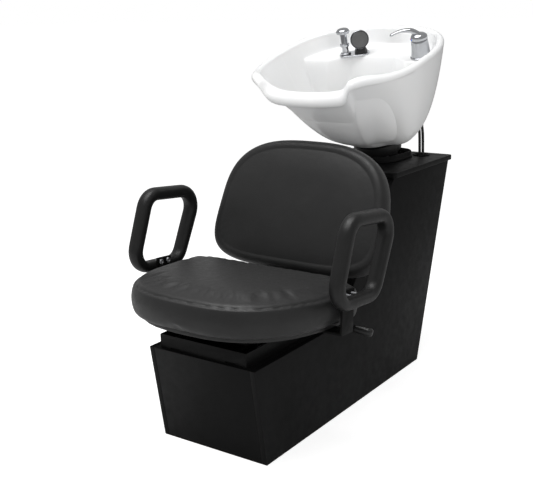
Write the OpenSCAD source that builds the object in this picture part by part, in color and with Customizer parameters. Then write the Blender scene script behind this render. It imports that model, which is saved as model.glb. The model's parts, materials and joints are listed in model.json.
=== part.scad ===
// Shampoo backwash unit: a leaning laminate cabinet that carries a sliding chair and a tilting ceramic bowl.
// Millimetres. +Z is up, the sitter faces -Y, and the origin is on the floor, midway along the cabinet's footprint.

/* [Cabinet] */
// Outside width of the cabinet
cab_w = 350; // [300:1:420]
// Thickness of the laminated boards
board_t = 16; // [12:1:19]
// Height of the low deck that carries the chair
deck_h = 277; // [240:1:320]
// Height of the tower, without its top plate
tower_h = 650; // [600:1:720]
// Length from the deck's front edge to the tower's top rear edge
cab_len = 1140; // [1120:1:1250]
// How far the front leans in from deck to floor
front_lean = 45; // [0:1:80]
// How far the rear leans in from tower top to floor
rear_lean = 210; // [100:1:240]
// Distance from the front edge to the foot of the tower's slanted front
tower_foot = 410; // [400:1:440]
// Distance from the front edge to the top of the tower's slanted front
tower_lip = 745; // [700:1:770]
// Thickness of the top plate
plate_t = 16; // [12:1:19]
// Overhang of the top plate past the cabinet's sides and rear
plate_over = 10; // [4:1:20]
// Height of the open slot for the pipes at the foot of the rear
slot_h = 140; // [120:1:170]
// Thickness of the removable rear panel
rear_panel_t = 6; // [4:1:10]
// Length of the bottom board
bottom_len = 560; // [450:1:600]
// Diameter of the floor anchor holes
anchor_d = 10; // [8:1:14]
// Spacing of the anchor holes across the cabinet
anchor_x = 220; // [180:1:240]
// Spacing of the anchor holes along the cabinet
anchor_y = 400; // [360:1:420]
// Diameter of the hose grommet's opening
grommet_d = 46; // [40:1:50]

/* [Chair] */
// Width of the slide base under the chair
base_w = 286; // [260:1:300]
// Length of the slide base
base_len = 372; // [340:1:376]
// Height of the slide base
base_h = 39; // [36:1:44]
// Sheet thickness of the slide base
base_t = 3; // [2:0.5:4]
// Travel of the sliding seat, forwards
slide_travel = 90; // [50:1:90]
// Running clearance inside the slide rails
rail_clear = 0.6; // [0.4:0.1:1]
// Width of the seat cushion
seat_w = 580; // [540:1:590]
// Depth of the seat cushion from front to rear
seat_d = 460; // [440:1:470]
// Height of the seat cushion's boxed side
seat_box = 85; // [70:1:95]
// Crown of the seat cushion above its seam
seat_crown = 16; // [10:1:30]
// Height of the seat's seam above the slide base, over the seat's rear edge
seat_rise = 116; // [110:1:140]
// Slope of the seat down towards its rear
seat_slope = 3.9; // [2:0.1:5]
// Thickness of the seat and back boards
ply_t = 12; // [9:1:15]
// Width of the backrest at its foot
back_w = 604; // [540:1:610]
// Width of the backrest at its head
back_top_w = 518; // [460:1:530]
// Height of the backrest along its slope
back_h = 380; // [340:1:400]
// Thickness of the backrest cushion behind its seam
back_box = 52; // [45:1:60]
// Crown of the backrest cushion in front of its seam
back_crown = 20; // [10:1:24]
// Lean of the backrest from upright
back_lean = 20.5; // [16:0.5:22]
// Width of the flat bar that carries the backrest
bar_w = 56; // [40:1:80]
// Thickness of the steel bars and brackets
steel_t = 6; // [5:1:8]
// Distance from the middle of the chair to the middle plane of each arm
arm_x = 335; // [330:1:350]
// Width of an arm's rail across the chair
arm_rail_w = 40; // [34:1:42]
// Thickness of an arm's rail in its own plane
arm_rail_t = 32; // [26:1:36]
// Diameter of the bolts that hold arms, backrest and bowl
bolt_d = 8; // [6:1:8]

/* [Bowl] */
// Half the width of the bowl at its rim line
bowl_hw = 262; // [250:1:275]
// Length of the bowl behind its middle
bowl_rear = 268; // [255:1:280]
// Length of the bowl in front of its middle
bowl_front = 302; // [290:1:320]
// Squareness of the rim's plan shape at the rear
bowl_n = 2.6; // [2:0.1:3]
// Squareness of the rim's plan shape at the front
bowl_front_n = 2.3; // [2:0.1:3]
// Half the width of the neck rest
neck_hw = 136; // [110:1:150]
// Depth from the rim line to the foot
bowl_depth = 310; // [295:1:320]
// Tilt of the bowl at rest, rear edge up
bowl_tilt = 17; // [15:0.5:18]
// Radius of the rolled rim
rim_r = 11; // [9:1:13]
// Radius of the thick roll at the neck rest
lip_r = 22; // [18:1:25]
// Radius of the foot
foot_r = 82; // [78:1:88]
// Diameter of the drain hole
drain_d = 46; // [40:1:48]
// Depth of the tap deck below the rim line
tap_deck = 45; // [40:1:50]
// Outside diameter of the drain's tailpiece
tail_d = 38; // [32:1:40]
// Outside diameter of each supply hose
hose_d = 9; // [8:1:12]
// Diameter of the tilt pins
pin_d = 12; // [10:1:14]

/* [Hidden] */
$fn = 48;
fit = 0.3;
hole_gap = 0.4;
y_front = -(front_lean + cab_len - rear_lean) / 2;
in_w = cab_w - 2 * board_t;
plate_top = tower_h + plate_t;
seat_h = deck_h + base_h + seat_rise;

// ---------- helpers ----------
module cab() translate([0, y_front, 0]) children();
// A side-view outline in Y and Z, made w wide about x.
module across(w, x = 0) translate([x - w / 2, 0, 0]) rotate([90, 0, 90]) linear_extrude(w) children();
module both() { children(); mirror([1, 0, 0]) children(); }
module slab(size, at) translate([at[0] - size[0] / 2, at[1], at[2]]) cube(size);
module rod_x(d, l, at) translate(at) rotate([0, 90, 0]) cylinder(d = d, h = l, center = true);
module rod_y(d, l, at) translate(at) rotate([-90, 0, 0]) cylinder(d = d, h = l);
module rod_z(d, l, at) translate(at) cylinder(d = d, h = l);
// A screw that points down: its head's underside is at z = 0.
module screw(d, l, head_h = 3) { rod_z(2 * d, head_h, [0, 0, 0]); rod_z(d, l + 0.01, [0, 0, -l]); }

function unit(v) = v / norm(v);
function at_angle(r, a) = r * [cos(a), sin(a)];
function sgnpow(c, p) = sign(c) * pow(abs(c), p);
function smooth(a, b, x) = let (s = min(1, max(0, (x - a) / (b - a)))) s * s * (3 - 2 * s);
function mix(a, b, s) = a + (b - a) * s;
function wrap(v, i) = v[(i + len(v)) % len(v)];
// Corner i of an outline, moved inwards by t.
function inset_corner(P, i, t) =
  let (a = unit(P[i] - wrap(P, i - 1)), b = unit(wrap(P, i + 1) - P[i]),
       na = [-a[1], a[0]], nb = [-b[1], b[0]])
  P[i] + t * (na + nb) / (1 + na * nb);
function inset(P, t) = [for (i = [0:len(P) - 1]) inset_corner(P, i, t)];
// An outline, counter-clockwise, with each corner rounded to radius r.
function rounded(P, r, steps = 6) = [
  for (i = [0:len(P) - 1])
    let (a = unit(P[i] - wrap(P, i - 1)), b = unit(wrap(P, i + 1) - P[i]),
         turn = acos(max(-1, min(1, a * b))), c = inset_corner(P, i, r), a0 = atan2(a[1], a[0]) - 90)
    for (k = [0:steps]) c + at_angle(r, a0 + turn * k / steps)
];
function rect(w, y0, y1) = [[-w / 2, y0], [w / 2, y0], [w / 2, y1], [-w / 2, y1]];

// A closed body from rings of points that all have the same number of points, with flat ends.
module loft(rings) {
  n = len(rings[0]);
  m = len(rings);
  polyhedron(
    points = [for (r = rings) for (p = r) p],
    faces = concat(
      [[for (i = [0:n - 1]) i]],
      [for (j = [0:m - 2], i = [0:n - 1])
        let (a = j * n + i, b = j * n + (i + 1) % n, c = b + n, d = a + n) each [[a, d, c], [a, c, b]]],
      [[for (i = [n - 1:-1:0]) (m - 1) * n + i]]
    )
  );
}

// A tube with s sides swept along points; each ring stands square to the path.
function ring_at(P, i, r, s) =
  let (t = unit(P[min(i + 1, len(P) - 1)] - P[max(i - 1, 0)]), x = unit(cross(t, [0, 1, 0.2])), y = cross(t, x))
  [for (k = [0:s - 1]) P[i] + r * (cos(360 * k / s) * x + sin(360 * k / s) * y)];
module swept(P, d, s = 10) loft([for (i = [0:len(P) - 1]) ring_at(P, i, d / 2, s)]);

// ---------- cabinet ----------
profile = [
  [front_lean, 0], [cab_len - rear_lean, 0], [cab_len, tower_h],
  [tower_lip, tower_h], [tower_foot, deck_h], [0, deck_h]
];
inner = inset(profile, board_t);
function rear_y(z) = cab_len - rear_lean + rear_lean * z / tower_h;
function rear_in(z) = mix(inner[1][0], inner[2][0], (z - inner[1][1]) / (inner[2][1] - inner[1][1]));
module side_panel() color("#1f1f21") cab() across(board_t, (cab_w - board_t) / 2) polygon(profile);
// The board that lies against edge i of the profile, mitred to its neighbours.
module edge_board(i) color("#1f1f21") cab() across(in_w)
  polygon([profile[i], wrap(profile, i + 1), wrap(inner, i + 1), inner[i]]);

module side_panel_right() side_panel();
module side_panel_left() mirror([1, 0, 0]) side_panel();
module front_panel() edge_board(5);
module deck_panel() edge_board(4);
module tower_front_panel() edge_board(3);
anchor_y0 = 115;
module bottom_panel() color("#1f1f21") difference() {
  intersection() {
    edge_board(0);
    cab() slab([cab_w, bottom_len, board_t], [0, front_lean, 0]);
  }
  cab() for (x = [-1, 1], y = [0, 1])
    rod_z(anchor_d, board_t + 2, [x * anchor_x / 2, anchor_y0 + y * anchor_y, -1]);
}

tail_hole = [0, 930];
tail_hole_d = tail_d + 26;
grommet_at = [98, 1090];
module top_plate() color("#19191b") difference() {
  cab() translate([0, 0, tower_h]) linear_extrude(plate_t)
    polygon(rounded(rect(cab_w + 2 * plate_over, tower_lip - 12, cab_len + plate_over), 12));
  cab() rod_z(tail_hole_d, plate_t + 2, [tail_hole[0], tail_hole[1], tower_h - 1]);
  cab() rod_z(grommet_d + 6 + fit, plate_t + 2, [grommet_at[0], grommet_at[1], tower_h - 1]);
}
rail_h = 60;
// Boards across the tower: under the plate's front, under its rear, and above the pipe slot.
module stretcher_rails() color("#2a2a2c") cab() across(in_w) {
  polygon([[inner[3][0] + 12, tower_h], [inner[3][0] + 12, tower_h - rail_h],
           [inner[3][0] + 12 + board_t, tower_h - rail_h], [inner[3][0] + 12 + board_t, tower_h]]);
  for (z = [slot_h + 10, tower_h - rail_h])
    polygon([[rear_y(z) - fit, z], [rear_y(z + rail_h) - fit, z + rail_h],
             [rear_in(z + rail_h), z + rail_h], [rear_in(z), z]]);
}
panel_w = cab_w - 12;
function rear_at(z, d) = [rear_y(z), z] + d * unit([tower_h, -rear_lean]);
module rear_access_panel() color("#222224") difference() {
  cab() across(panel_w)
    polygon([rear_at(slot_h, 0), rear_at(slot_h, rear_panel_t),
             rear_at(tower_h - 4, rear_panel_t), rear_at(tower_h - 4, 0)]);
  at_rear_screws() rod_z(4 + hole_gap, 3 * rear_panel_t, [0, 0, -2 * rear_panel_t]);
}
module at_rear_screws() cab() for (x = [-1, 1], z = [slot_h + 25, (slot_h + tower_h) / 2, tower_h - 30])
  translate([x * (cab_w - board_t) / 2, rear_at(z, rear_panel_t)[0], rear_at(z, rear_panel_t)[1]])
    rotate([-90 - atan(rear_lean / tower_h), 0, 0]) children();
module access_panel_screws() color("silver") at_rear_screws() screw(4, rear_panel_t, 2.4);
cleat = 28;
module corner_cleats() color("#c8a46a") cab() both() for (y = [120, 300, 480]) {
  slab([cleat, 60, cleat], [in_w / 2 - cleat / 2, y, board_t]);
  if (y < 400) slab([cleat, 60, cleat], [in_w / 2 - cleat / 2, y, deck_h - board_t - cleat]);
}
module hose_grommet() color("#111111") cab() translate([grommet_at[0], grommet_at[1], 0]) difference() {
  union() {
    rod_z(58, 3, [0, 0, plate_top]);
    rod_z(grommet_d + 6, plate_t, [0, 0, tower_h]);
  }
  rod_z(grommet_d, plate_t + 5, [0, 0, tower_h - 1]);
}

// ---------- seat slide ----------
base_y = 10;
rail_x = 100;
rail_w = 36;
rail_hh = 22;
rail_sheet = 2.5;
rail_slot = 16;
base_top = deck_h + base_h;
module slide_base() color("#0c0c0c") difference() {
  cab() slab([base_w, base_len, base_h], [0, base_y, deck_h]);
  cab() slab([base_w - 2 * base_t, base_len - 2 * base_t, base_h], [0, base_y + base_t, deck_h + base_t]);
  cab() for (x = [-1, 1]) slab([34, base_t + 2, 7], [x * 92, base_y - 1, deck_h - 1]);
  at_base_screws() rod_z(5 + hole_gap, 3 * base_t, [0, 0, -2 * base_t]);
}
module at_base_screws() cab() for (x = [-40, 40], y = [base_y + 40, base_y + base_len - 40])
  translate([x, y, deck_h + base_t]) children();
module slide_base_screws() color("silver") at_base_screws() screw(5, base_t - 0.1);
module lower_rails() color("#3a3a3c") cab() both() translate([rail_x, base_y + 6, deck_h + base_t]) difference() {
  slab([rail_w, base_len - 12, rail_hh], [0, 0, 0]);
  slab([rail_w - 2 * rail_sheet, base_len, rail_hh - 2 * rail_sheet], [0, -1, rail_sheet]);
  slab([rail_slot, base_len, rail_hh], [0, -1, rail_sheet + 1]);
}
upper_len = base_len - slide_travel - 20;
upper_y = base_y + base_len - 8 - upper_len;
frame_z = base_top + 2;
module upper_rails() color("#55555a") cab() both() translate([rail_x, upper_y, deck_h + base_t]) {
  slab([rail_w - 2 * rail_sheet - 2 * rail_clear, upper_len, rail_hh - 2 * rail_sheet - 2 * rail_clear],
       [0, 0, rail_sheet + rail_clear]);
  slab([rail_slot - 4, upper_len, frame_z - deck_h - base_t - rail_sheet - rail_clear - 8],
       [0, 0, rail_sheet + rail_clear + 8]);
}
// A comb beside the right rail: the lever's pawl drops into one of its notches.
rack_x = rail_x + rail_w / 2 + 7;
rack_teeth = 7;
pawl_d = 5;
lever_at = [rack_x + 4, base_y + base_len - 120];
pawl_y = lever_at[1] + 38;
module latch_rack() color("#55555a") cab() difference() {
  slab([12, base_len - 40, 24], [rack_x, base_y + 20, deck_h + base_t]);
  for (k = [0:rack_teeth - 1])
    slab([8, pawl_d + 1, 26], [rack_x + 4, pawl_y - k * slide_travel / (rack_teeth - 1) - (pawl_d + 1) / 2, deck_h + base_t - 1]);
}

// ---------- chair: everything here slides ----------
seat_y = 347;
module in_seat() cab() translate([0, seat_y, seat_h]) rotate([-seat_slope, 0, 0]) children();
function seat_pt(y, z) = [seat_y + y * cos(seat_slope) + z * sin(seat_slope),
                          seat_h - y * sin(seat_slope) + z * cos(seat_slope)];
under = -seat_box - ply_t;
frame_front = upper_y - 60;
frame_rear = upper_y + upper_len - 6;
function under_z(y) = seat_h + under / cos(seat_slope) - (y - seat_y) * tan(seat_slope);
// A side-view block from the rails up to the seat board, less a gap.
module wedge(y0, y1, gap = 0.1)
  polygon([[y0, frame_z], [y1, frame_z], [y1, under_z(y1) - gap], [y0, under_z(y0) - gap]]);
module seat_frame() color("#0c0c0c") {
  cab() {
    both() across(30, rail_x) wedge(frame_front, frame_rear);
    across(2 * rail_x - 28) {
      wedge(frame_front, frame_front + 30);
      wedge(frame_rear - 30, frame_rear, steel_t + 0.5);
    }
  }
}
seat_c = -47;
seat_heel = 80;
// Plan of the seat: a squarish oval, longer to the front than to the rear.
function seat_plan(a, grow) = let (n = sin(a) < 0 ? 2.7 : 2.2) [
  (seat_w / 2 + grow) * sgnpow(cos(a), 2 / n),
  seat_c + ((sin(a) < 0 ? seat_d - seat_heel : seat_heel) + grow) * sgnpow(sin(a), 2 / n)
];
// Plan of the backrest: a rounded trapezoid, wider at its foot; its own y runs up the slope.
function back_plan(a, grow) =
  let (n = sin(a) < 0 ? 4.4 : 2.9, v = sgnpow(sin(a), 2 / n), w = mix(back_w, back_top_w, (1 + v) / 2) / 2 + grow)
  [w * sgnpow(cos(a), 2 / n), back_h / 2 + (back_h / 2 + grow) * v];
// A boxed cushion: rows of [how far the outline grows, height], from its underside to its crown.
pad_n = 48;
function pad_rings(plan, rows) = [for (r = rows) [for (i = [0:pad_n - 1])
  let (p = plan(360 * i / pad_n, r[0])) [p[0], p[1], r[1]]]];
function pad_rows(box, crown, bulge) = [
  [-14, -box], [bulge - 2, -box + 10], [bulge + 2, -box / 2], [0, -3], [-6, 2], [-16, crown * 0.34],
  [-42, crown * 0.7], [-90, crown * 0.94], [-150, crown]
];
module seat_board() color("#c8a46a") in_seat() translate([0, 0, under]) linear_extrude(ply_t)
  polygon([for (i = [0:pad_n - 1]) seat_plan(360 * i / pad_n, -22)]);
module seat_cushion() color("#3c3c3e") in_seat()
  loft(pad_rings(function (a, g) seat_plan(a, g), concat([[-14, -seat_box]], pad_rows(seat_box, seat_crown, 8))));

back_foot = [412, seat_h - 12];
module in_back() cab() translate([0, back_foot[0], back_foot[1]]) rotate([90 - back_lean, 0, 0]) children();
function back_pt(w, n) = back_foot + w * [sin(back_lean), cos(back_lean)] + n * [cos(back_lean), -sin(back_lean)];
module back_cushion() color("#3c3c3e") in_back()
  loft(pad_rings(function (a, g) back_plan(a, g), pad_rows(back_box, back_crown, 4)));
module back_board() color("#29292b") difference() {
  in_back() translate([0, 0, -back_box - ply_t]) linear_extrude(ply_t)
    polygon([for (i = [0:pad_n - 1]) back_plan(360 * i / pad_n, -18)]);
  at_back_bolts() rod_z(bolt_d + hole_gap, steel_t + ply_t - 2, [0, 0, 2 - steel_t - ply_t]);
}
bar_n = back_box + ply_t + 0.1;
module back_bar() color("#0c0c0c") difference() {
  cab() across(bar_w) polygon([
    seat_pt(-70, under - 0.1), seat_pt(-70, under - steel_t), seat_pt(86, under - steel_t),
    back_pt(-56, bar_n + steel_t), back_pt(200, bar_n + steel_t), back_pt(200, bar_n), back_pt(-58, bar_n),
    seat_pt(84, under - 0.1)
  ]);
  at_back_bolts() rod_z(bolt_d + hole_gap, 4 * steel_t, [0, 0, -2 * steel_t]);
  at_bar_bolts() rod_z(bolt_d + hole_gap, 3 * steel_t, [0, 0, -2 * steel_t]);
}
// Bolts through the bar: their heads' undersides are on its rear and lower faces.
module at_back_bolts() in_back() for (x = [-14, 14], w = [80, 170])
  translate([x, w, -bar_n - steel_t]) rotate([180, 0, 0]) children();
module at_bar_bolts() in_seat() for (x = [-14, 14], y = [-50, -10])
  translate([x, y, under - steel_t]) rotate([180, 0, 0]) children();
module back_bolts() color("#1a1a1a") {
  at_back_bolts() screw(bolt_d, steel_t + ply_t - 3, 5);
  at_bar_bolts() screw(bolt_d, steel_t - 0.2, 5);
}

arm_inner = [[137, seat_h + 21], [306, seat_h + 8], [390, seat_h + 177], [204, seat_h + 196]];
arm_in_x = arm_x - arm_rail_w / 2;
module arm() color("#141414") difference() {
  cab() across(arm_rail_w, arm_x) difference() {
    polygon(rounded(inset(arm_inner, -arm_rail_t), 34 + arm_rail_t, 8));
    polygon(rounded(arm_inner, 34, 8));
  }
  at_arm_bolts() rod_z(bolt_d + 0.1, 17, [0, 0, -steel_t - 16]);
}
bracket_y = [-150, -92];
module arm_bracket() color("#0c0c0c") difference() {
  in_seat() {
    translate([rail_x + 15 + fit, bracket_y[0], under - steel_t])
      cube([arm_in_x - rail_x - 15 - fit, bracket_y[1] - bracket_y[0], steel_t]);
    translate([arm_in_x - steel_t, bracket_y[0], under - steel_t])
      cube([steel_t, bracket_y[1] - bracket_y[0], 22 - under]);
  }
  at_arm_bolts() rod_z(bolt_d + hole_gap, 3 * steel_t, [0, 0, -2 * steel_t]);
  at_bracket_screws() rod_z(6 + hole_gap, 3 * steel_t, [0, 0, -2 * steel_t]);
}
module at_arm_bolts() in_seat() for (y = bracket_y + [14, -14])
  translate([arm_in_x - steel_t, y, 4]) rotate([0, -90, 0]) children();
module at_bracket_screws() in_seat() for (x = [rail_x + 50, rail_x + 110], y = bracket_y + [15, -15])
  translate([x, y, under - steel_t]) rotate([180, 0, 0]) children();
module arm_right() arm();
module arm_left() mirror([1, 0, 0]) arm();
module arm_bracket_right() arm_bracket();
module arm_bracket_left() mirror([1, 0, 0]) arm_bracket();
module arm_bolts() color("#6a6a6c") both() {
  at_arm_bolts() screw(bolt_d, steel_t + 14, 5);
  at_bracket_screws() screw(6, steel_t - 0.2, 4);
}

lever_z = base_top + 4;
lever_bar = 6;
knob_at = [262, lever_at[1] + 82, base_top - 10];
function lever_top(y) = under_z(y) - 0.3;
module lever_pivot_bolt() color("silver") cab() {
  rod_z(8, lever_top(lever_at[1] + 4) - lever_z, [lever_at[0], lever_at[1], lever_z]);
  rod_z(14, 2.4, [lever_at[0], lever_at[1], lever_z - 2.6]);
  rod_z(14, lever_top(lever_at[1] + 7) - lever_z - lever_bar - 0.3, [lever_at[0], lever_at[1], lever_z + lever_bar + 0.3]);
}
// A flat bar that swings about an upright bolt, with the pawl pin below it and a rod out to the side.
module slide_lever() color("#1a1a1a") cab() difference() {
  union() {
    translate([0, 0, lever_z]) linear_extrude(lever_bar) {
      translate(lever_at) circle(d = 20);
      translate([lever_at[0], pawl_y]) circle(d = 14);
      polygon([lever_at - [8, 0], lever_at + [8, 0], [lever_at[0] + 7, pawl_y], [lever_at[0] - 7, pawl_y]]);
    }
    rod_z(pawl_d, lever_z - deck_h - base_t - 4, [lever_at[0], pawl_y, deck_h + base_t + 4]);
    swept([[lever_at[0], pawl_y, lever_z + 4], [158, pawl_y + 16, lever_z + 4], [188, pawl_y + 26, lever_z],
           [222, pawl_y + 35, lever_z - 8], knob_at], 8);
  }
  rod_z(8.2, 30, [lever_at[0], lever_at[1], lever_z - 10]);
}
module lever_knob() color("#101010") cab() translate(knob_at) rotate([0, 98, 10]) rotate_extrude()
  polygon(concat([[0, fit], [9, fit], [11, 6]], [for (k = [0:6]) [12.5 * cos(15 * k), 42 + 14 * sin(15 * k)]]));

// ---------- bowl ----------
bowl_y = 771;
bowl_z = plate_top + 339;
module in_bowl() cab() translate([0, bowl_y, bowl_z]) rotate([bowl_tilt, 0, 0]) children();
function bowl_pt(y, z) = [bowl_y + y * cos(bowl_tilt) - z * sin(bowl_tilt), bowl_z + y * sin(bowl_tilt) + z * cos(bowl_tilt)];
foot_y = 96;
floor_y = 50;
floor_r = 58;
floor_z = -bowl_depth + 24;
mixer_at = [175, 136];
dock_at = [-68, 150];
dock_turn = 20;
breaker_x = -28;
cup_x = 22;
breaker_at = dock_at + breaker_x * [cos(dock_turn), sin(dock_turn)];
cup_at = dock_at + cup_x * [cos(dock_turn), sin(dock_turn)];

function rim_n(t) = sin(t) < 0 ? bowl_front_n : bowl_n;
function rim_x(t) = bowl_hw * sgnpow(cos(t), 2 / rim_n(t));
// 1 across the neck rest, 0 beyond the lobes beside it; then 1 on each lobe.
function neck(t) = sin(t) < 0 ? exp(-pow(rim_x(t) / neck_hw, 8)) : 0;
function lobe(t) = sin(t) < 0 ? exp(-pow((abs(rim_x(t)) - neck_hw - 40) / 54, 2)) : 0;
function front(t) = smooth(0.05, 0.75, -sin(t));
function rim(t) = [
  rim_x(t), (sin(t) < 0 ? bowl_front : bowl_rear) * sgnpow(sin(t), 2 / rim_n(t)) + 34 * neck(t),
  20 * lobe(t) * (1 - neck(t)) - 18 * neck(t)
];
function out(t) = let (p = rim(t)) unit([p[0], p[1] - 60 * (1 - front(t)), 0]);
function roll_r(t) = rim_r + 5 * lobe(t) + (lip_r - rim_r) * neck(t);
function disc(t, y, r, z) = [r * cos(t), y + r * sin(t), z];
up = [0, 0, 1];
n_out = 9;
n_roll = 7;
n_in = 13;
// One slice of the bowl: foot, outer wall, rolled rim, inner wall with the tap deck, floor.
function slice(t) =
  let (
    c = rim(t), u = out(t), r = roll_r(t), f = front(t), a0 = -20 - 45 * max(neck(t), 0.6 * lobe(t)),
    edge = c + r * (cos(a0) * u + sin(a0) * up), foot = disc(t, foot_y, foot_r, -bowl_depth),
    brim = c - r * u, sump = disc(t, floor_y, floor_r, floor_z), k = mix(2.5, 1.25, f)
  )
  concat(
    [for (i = [0:n_out - 1]) let (s = 1 - i / n_out, p = mix(edge, foot, s), q = max(0, (s - 0.07 * f) / (1 - 0.07 * f)))
      [p[0], p[1], mix(edge[2], foot[2], 1 - pow(1 - q, k))]],
    [for (i = [0:n_roll]) let (a = a0 + (180 - a0) * i / n_roll) c + r * (cos(a) * u + sin(a) * up)],
    [for (i = [1:n_in]) let (s = i / n_in, p = mix(brim, sump, s), z = mix(brim[2], floor_z, 1 - pow(1 - s, mix(2.75, 1.75, f))))
      [p[0], p[1], max(z, -tap_deck - 330 * (1 - smooth(88, 142, p[1])))]],
    [disc(t, floor_y, drain_d / 2 - 4, floor_z - 3)]
  );
nt = 56;
glaze_wall = 13;
slices = [for (i = [0:nt - 1]) slice(360 * i / nt - 90)];
// The casting is hollow behind the basin, under the tap deck; the handset's bore keeps its own wall.
hollow_y = 150;
hollow_rear = 204;
hollow_hw = 150;
hollow_foot = -180;
module casting_hollow() difference() {
  translate([0, 0, hollow_foot]) linear_extrude(-tap_deck - glaze_wall - hollow_foot) polygon([
    [-hollow_hw, hollow_y], [hollow_hw, hollow_y], [hollow_hw - 10, hollow_rear - 40], [hollow_hw - 55, hollow_rear],
    [55 - hollow_hw, hollow_rear], [10 - hollow_hw, hollow_rear - 40]
  ]);
  rod_z(40, 200, [cup_at[0], cup_at[1], -tap_deck - 190]);
  rod_z(40, 60, [breaker_at[0], breaker_at[1], -tap_deck - 40]);
}
module bowl_shell() color("white") in_bowl() difference() {
  loft([for (j = [0:len(slices[0]) - 1]) [for (s = slices) s[j]]]);
  casting_hollow();
  rod_z(drain_d, 90, [0, floor_y, -bowl_depth - 30]);
  rod_z(56, 300, [mixer_at[0], mixer_at[1], -tap_deck - 14 - 300]);
  rod_z(35, 60, [mixer_at[0], mixer_at[1], -tap_deck - 30]);
  rod_z(16, 190, [cup_at[0], cup_at[1], -tap_deck - 180]);
  rod_z(16, 40, [breaker_at[0], breaker_at[1], -tap_deck - 30]);
  at_foot_bolts() rod_z(bolt_d + 0.1, 22, [0, 0, -22]);
}
module at_foot_bolts() for (a = [60, 120, 240, 300])
  translate([62 * cos(a), foot_y + 62 * sin(a), -bowl_depth]) rotate([180, 0, 0]) children();

// ---------- tilt mechanism ----------
pivot = [958, plate_top + 34];
ear_x = 61;
lug_x = 53.5;
cradle_t = 8;
boot_rect = rect(180, 862, 1096);
boot_h = 20;
module bowl_cradle() color("#2c2c2e") difference() {
  union() {
    in_bowl() rod_z(2 * foot_r - 6, cradle_t, [0, foot_y, -bowl_depth - cradle_t]);
    cab() both() across(6, lug_x) lug();
  }
  in_bowl() rod_z(tail_d + 12, 4 * cradle_t, [0, floor_y, -bowl_depth - 2 * cradle_t]);
  in_bowl() at_foot_bolts() rod_z(bolt_d + hole_gap, 4 * cradle_t, [0, 0, -cradle_t]);
  cab() rod_x(pin_d + 0.1, 2 * ear_x + 40, [0, pivot[0], pivot[1]]);
}
module lug() {
  a = bowl_pt(foot_y - 45, -bowl_depth - 1);
  b = bowl_pt(foot_y + 45, -bowl_depth - 1);
  polygon([pivot + [-15, 0], pivot + [15, 0], b, a]);
  translate(pivot) circle(d = 30);
}
module tilt_bracket() color("#2c2c2e") difference() {
  cab() both() {
    across(6, ear_x) {
      polygon([pivot + [-18, 0], pivot + [18, 0], [pivot[0] + 34, plate_top], [pivot[0] - 34, plate_top]]);
      translate(pivot) circle(d = 36);
    }
    slab([14, 76, 5], [ear_x + 9, pivot[0] - 38, plate_top]);
  }
  cab() rod_x(pin_d + 0.1, 2 * ear_x + 40, [0, pivot[0], pivot[1]]);
  at_bracket_bolts() rod_z(5 + hole_gap, 20, [0, 0, -10]);
}
module at_bracket_bolts() cab() both() for (y = [-24, 24]) translate([ear_x + 9.5, pivot[0] + y, plate_top + 5]) children();
module tilt_bracket_bolts() color("silver") at_bracket_bolts() screw(5, 4.8, 4);
module tilt_pins() color("silver") cab() both() {
  rod_x(pin_d, 21, [57.5, pivot[0], pivot[1]]);
  rod_x(pin_d + 6, 3, [ear_x + 3 + 1.8, pivot[0], pivot[1]]);
}
module tilt_boot() color("#101010") cab() difference() {
  union() {
    translate([0, 0, plate_top]) linear_extrude(6) polygon(rounded(boot_rect, 74, 10));
    translate([0, 0, plate_top]) linear_extrude(boot_h) polygon(rounded(inset(boot_rect, 4), 70, 10));
  }
  translate([0, 0, plate_top - 1]) linear_extrude(60) polygon(rounded(inset(boot_rect, 8), 66, 10));
}
shroud_h = 33;
module pivot_shroud() color("#101010") in_bowl() translate([0, foot_y, -bowl_depth - cradle_t - shroud_h]) difference() {
  cylinder(r = foot_r - 4, h = shroud_h - 0.2);
  translate([0, 0, -1]) cylinder(r = foot_r - 8, h = shroud_h + 2);
}
module bowl_bolts() color("silver") in_bowl() translate([0, 0, -cradle_t]) at_foot_bolts() screw(bolt_d, cradle_t + 18, 5);

// ---------- drain ----------
module drain_flange() color("silver") in_bowl() difference() {
  union() {
    rod_z(drain_d - 2 * fit, 35, [0, floor_y, floor_z - 34]);
    rod_z(drain_d + 12, 2.6, [0, floor_y, floor_z + 0.6]);
  }
  rod_z(drain_d - 8, 50, [0, floor_y, floor_z - 40]);
}
module drain_strainer() color("silver") in_bowl() translate([0, floor_y, floor_z - 6]) difference() {
  cylinder(d = drain_d - 8.4, h = 3);
  for (a = [0:60:300]) rotate(a) translate([11, 0, -1]) cylinder(d = 7, h = 5);
  translate([0, 0, -1]) cylinder(d = 7, h = 5);
}
tail_end = -bowl_depth - 60;
module tailpiece() color("silver") in_bowl() difference() {
  union() {
    rod_z(tail_d, floor_z - 34 - fit - tail_end, [0, floor_y, tail_end]);
    rod_z(tail_d + 8, 12, [0, floor_y, tail_end]);
  }
  rod_z(tail_d - 6, 200, [0, floor_y, tail_end - 1]);
}
trap_at = [0, 862];
function at_mid(p) = [0, p[0], p[1]];
hose_route = [
  at_mid(bowl_pt(floor_y, tail_end - 0.3)), at_mid(bowl_pt(floor_y, tail_end - 14)), [0, 928, 620],
  [0, 916, 590], [0, 896, 562], [0, 876, 535], [0, 862, 505], [0, 862, 480]
];
module drain_hose() color("#d8d8d8") cab() swept(hose_route, tail_d - 2, 12);
outlet_x = -70;
outlet_z = 75;
module pipe(d, P) for (i = [0:len(P) - 2]) {
  v = P[i + 1] - P[i];
  translate(P[i]) rotate([0, acos(v[2] / norm(v)), atan2(v[1], v[0])]) cylinder(d = d, h = norm(v));
  if (i > 0) translate(P[i]) sphere(d = d);
}
outlet_end = 1010;
spigot = 60;
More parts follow.
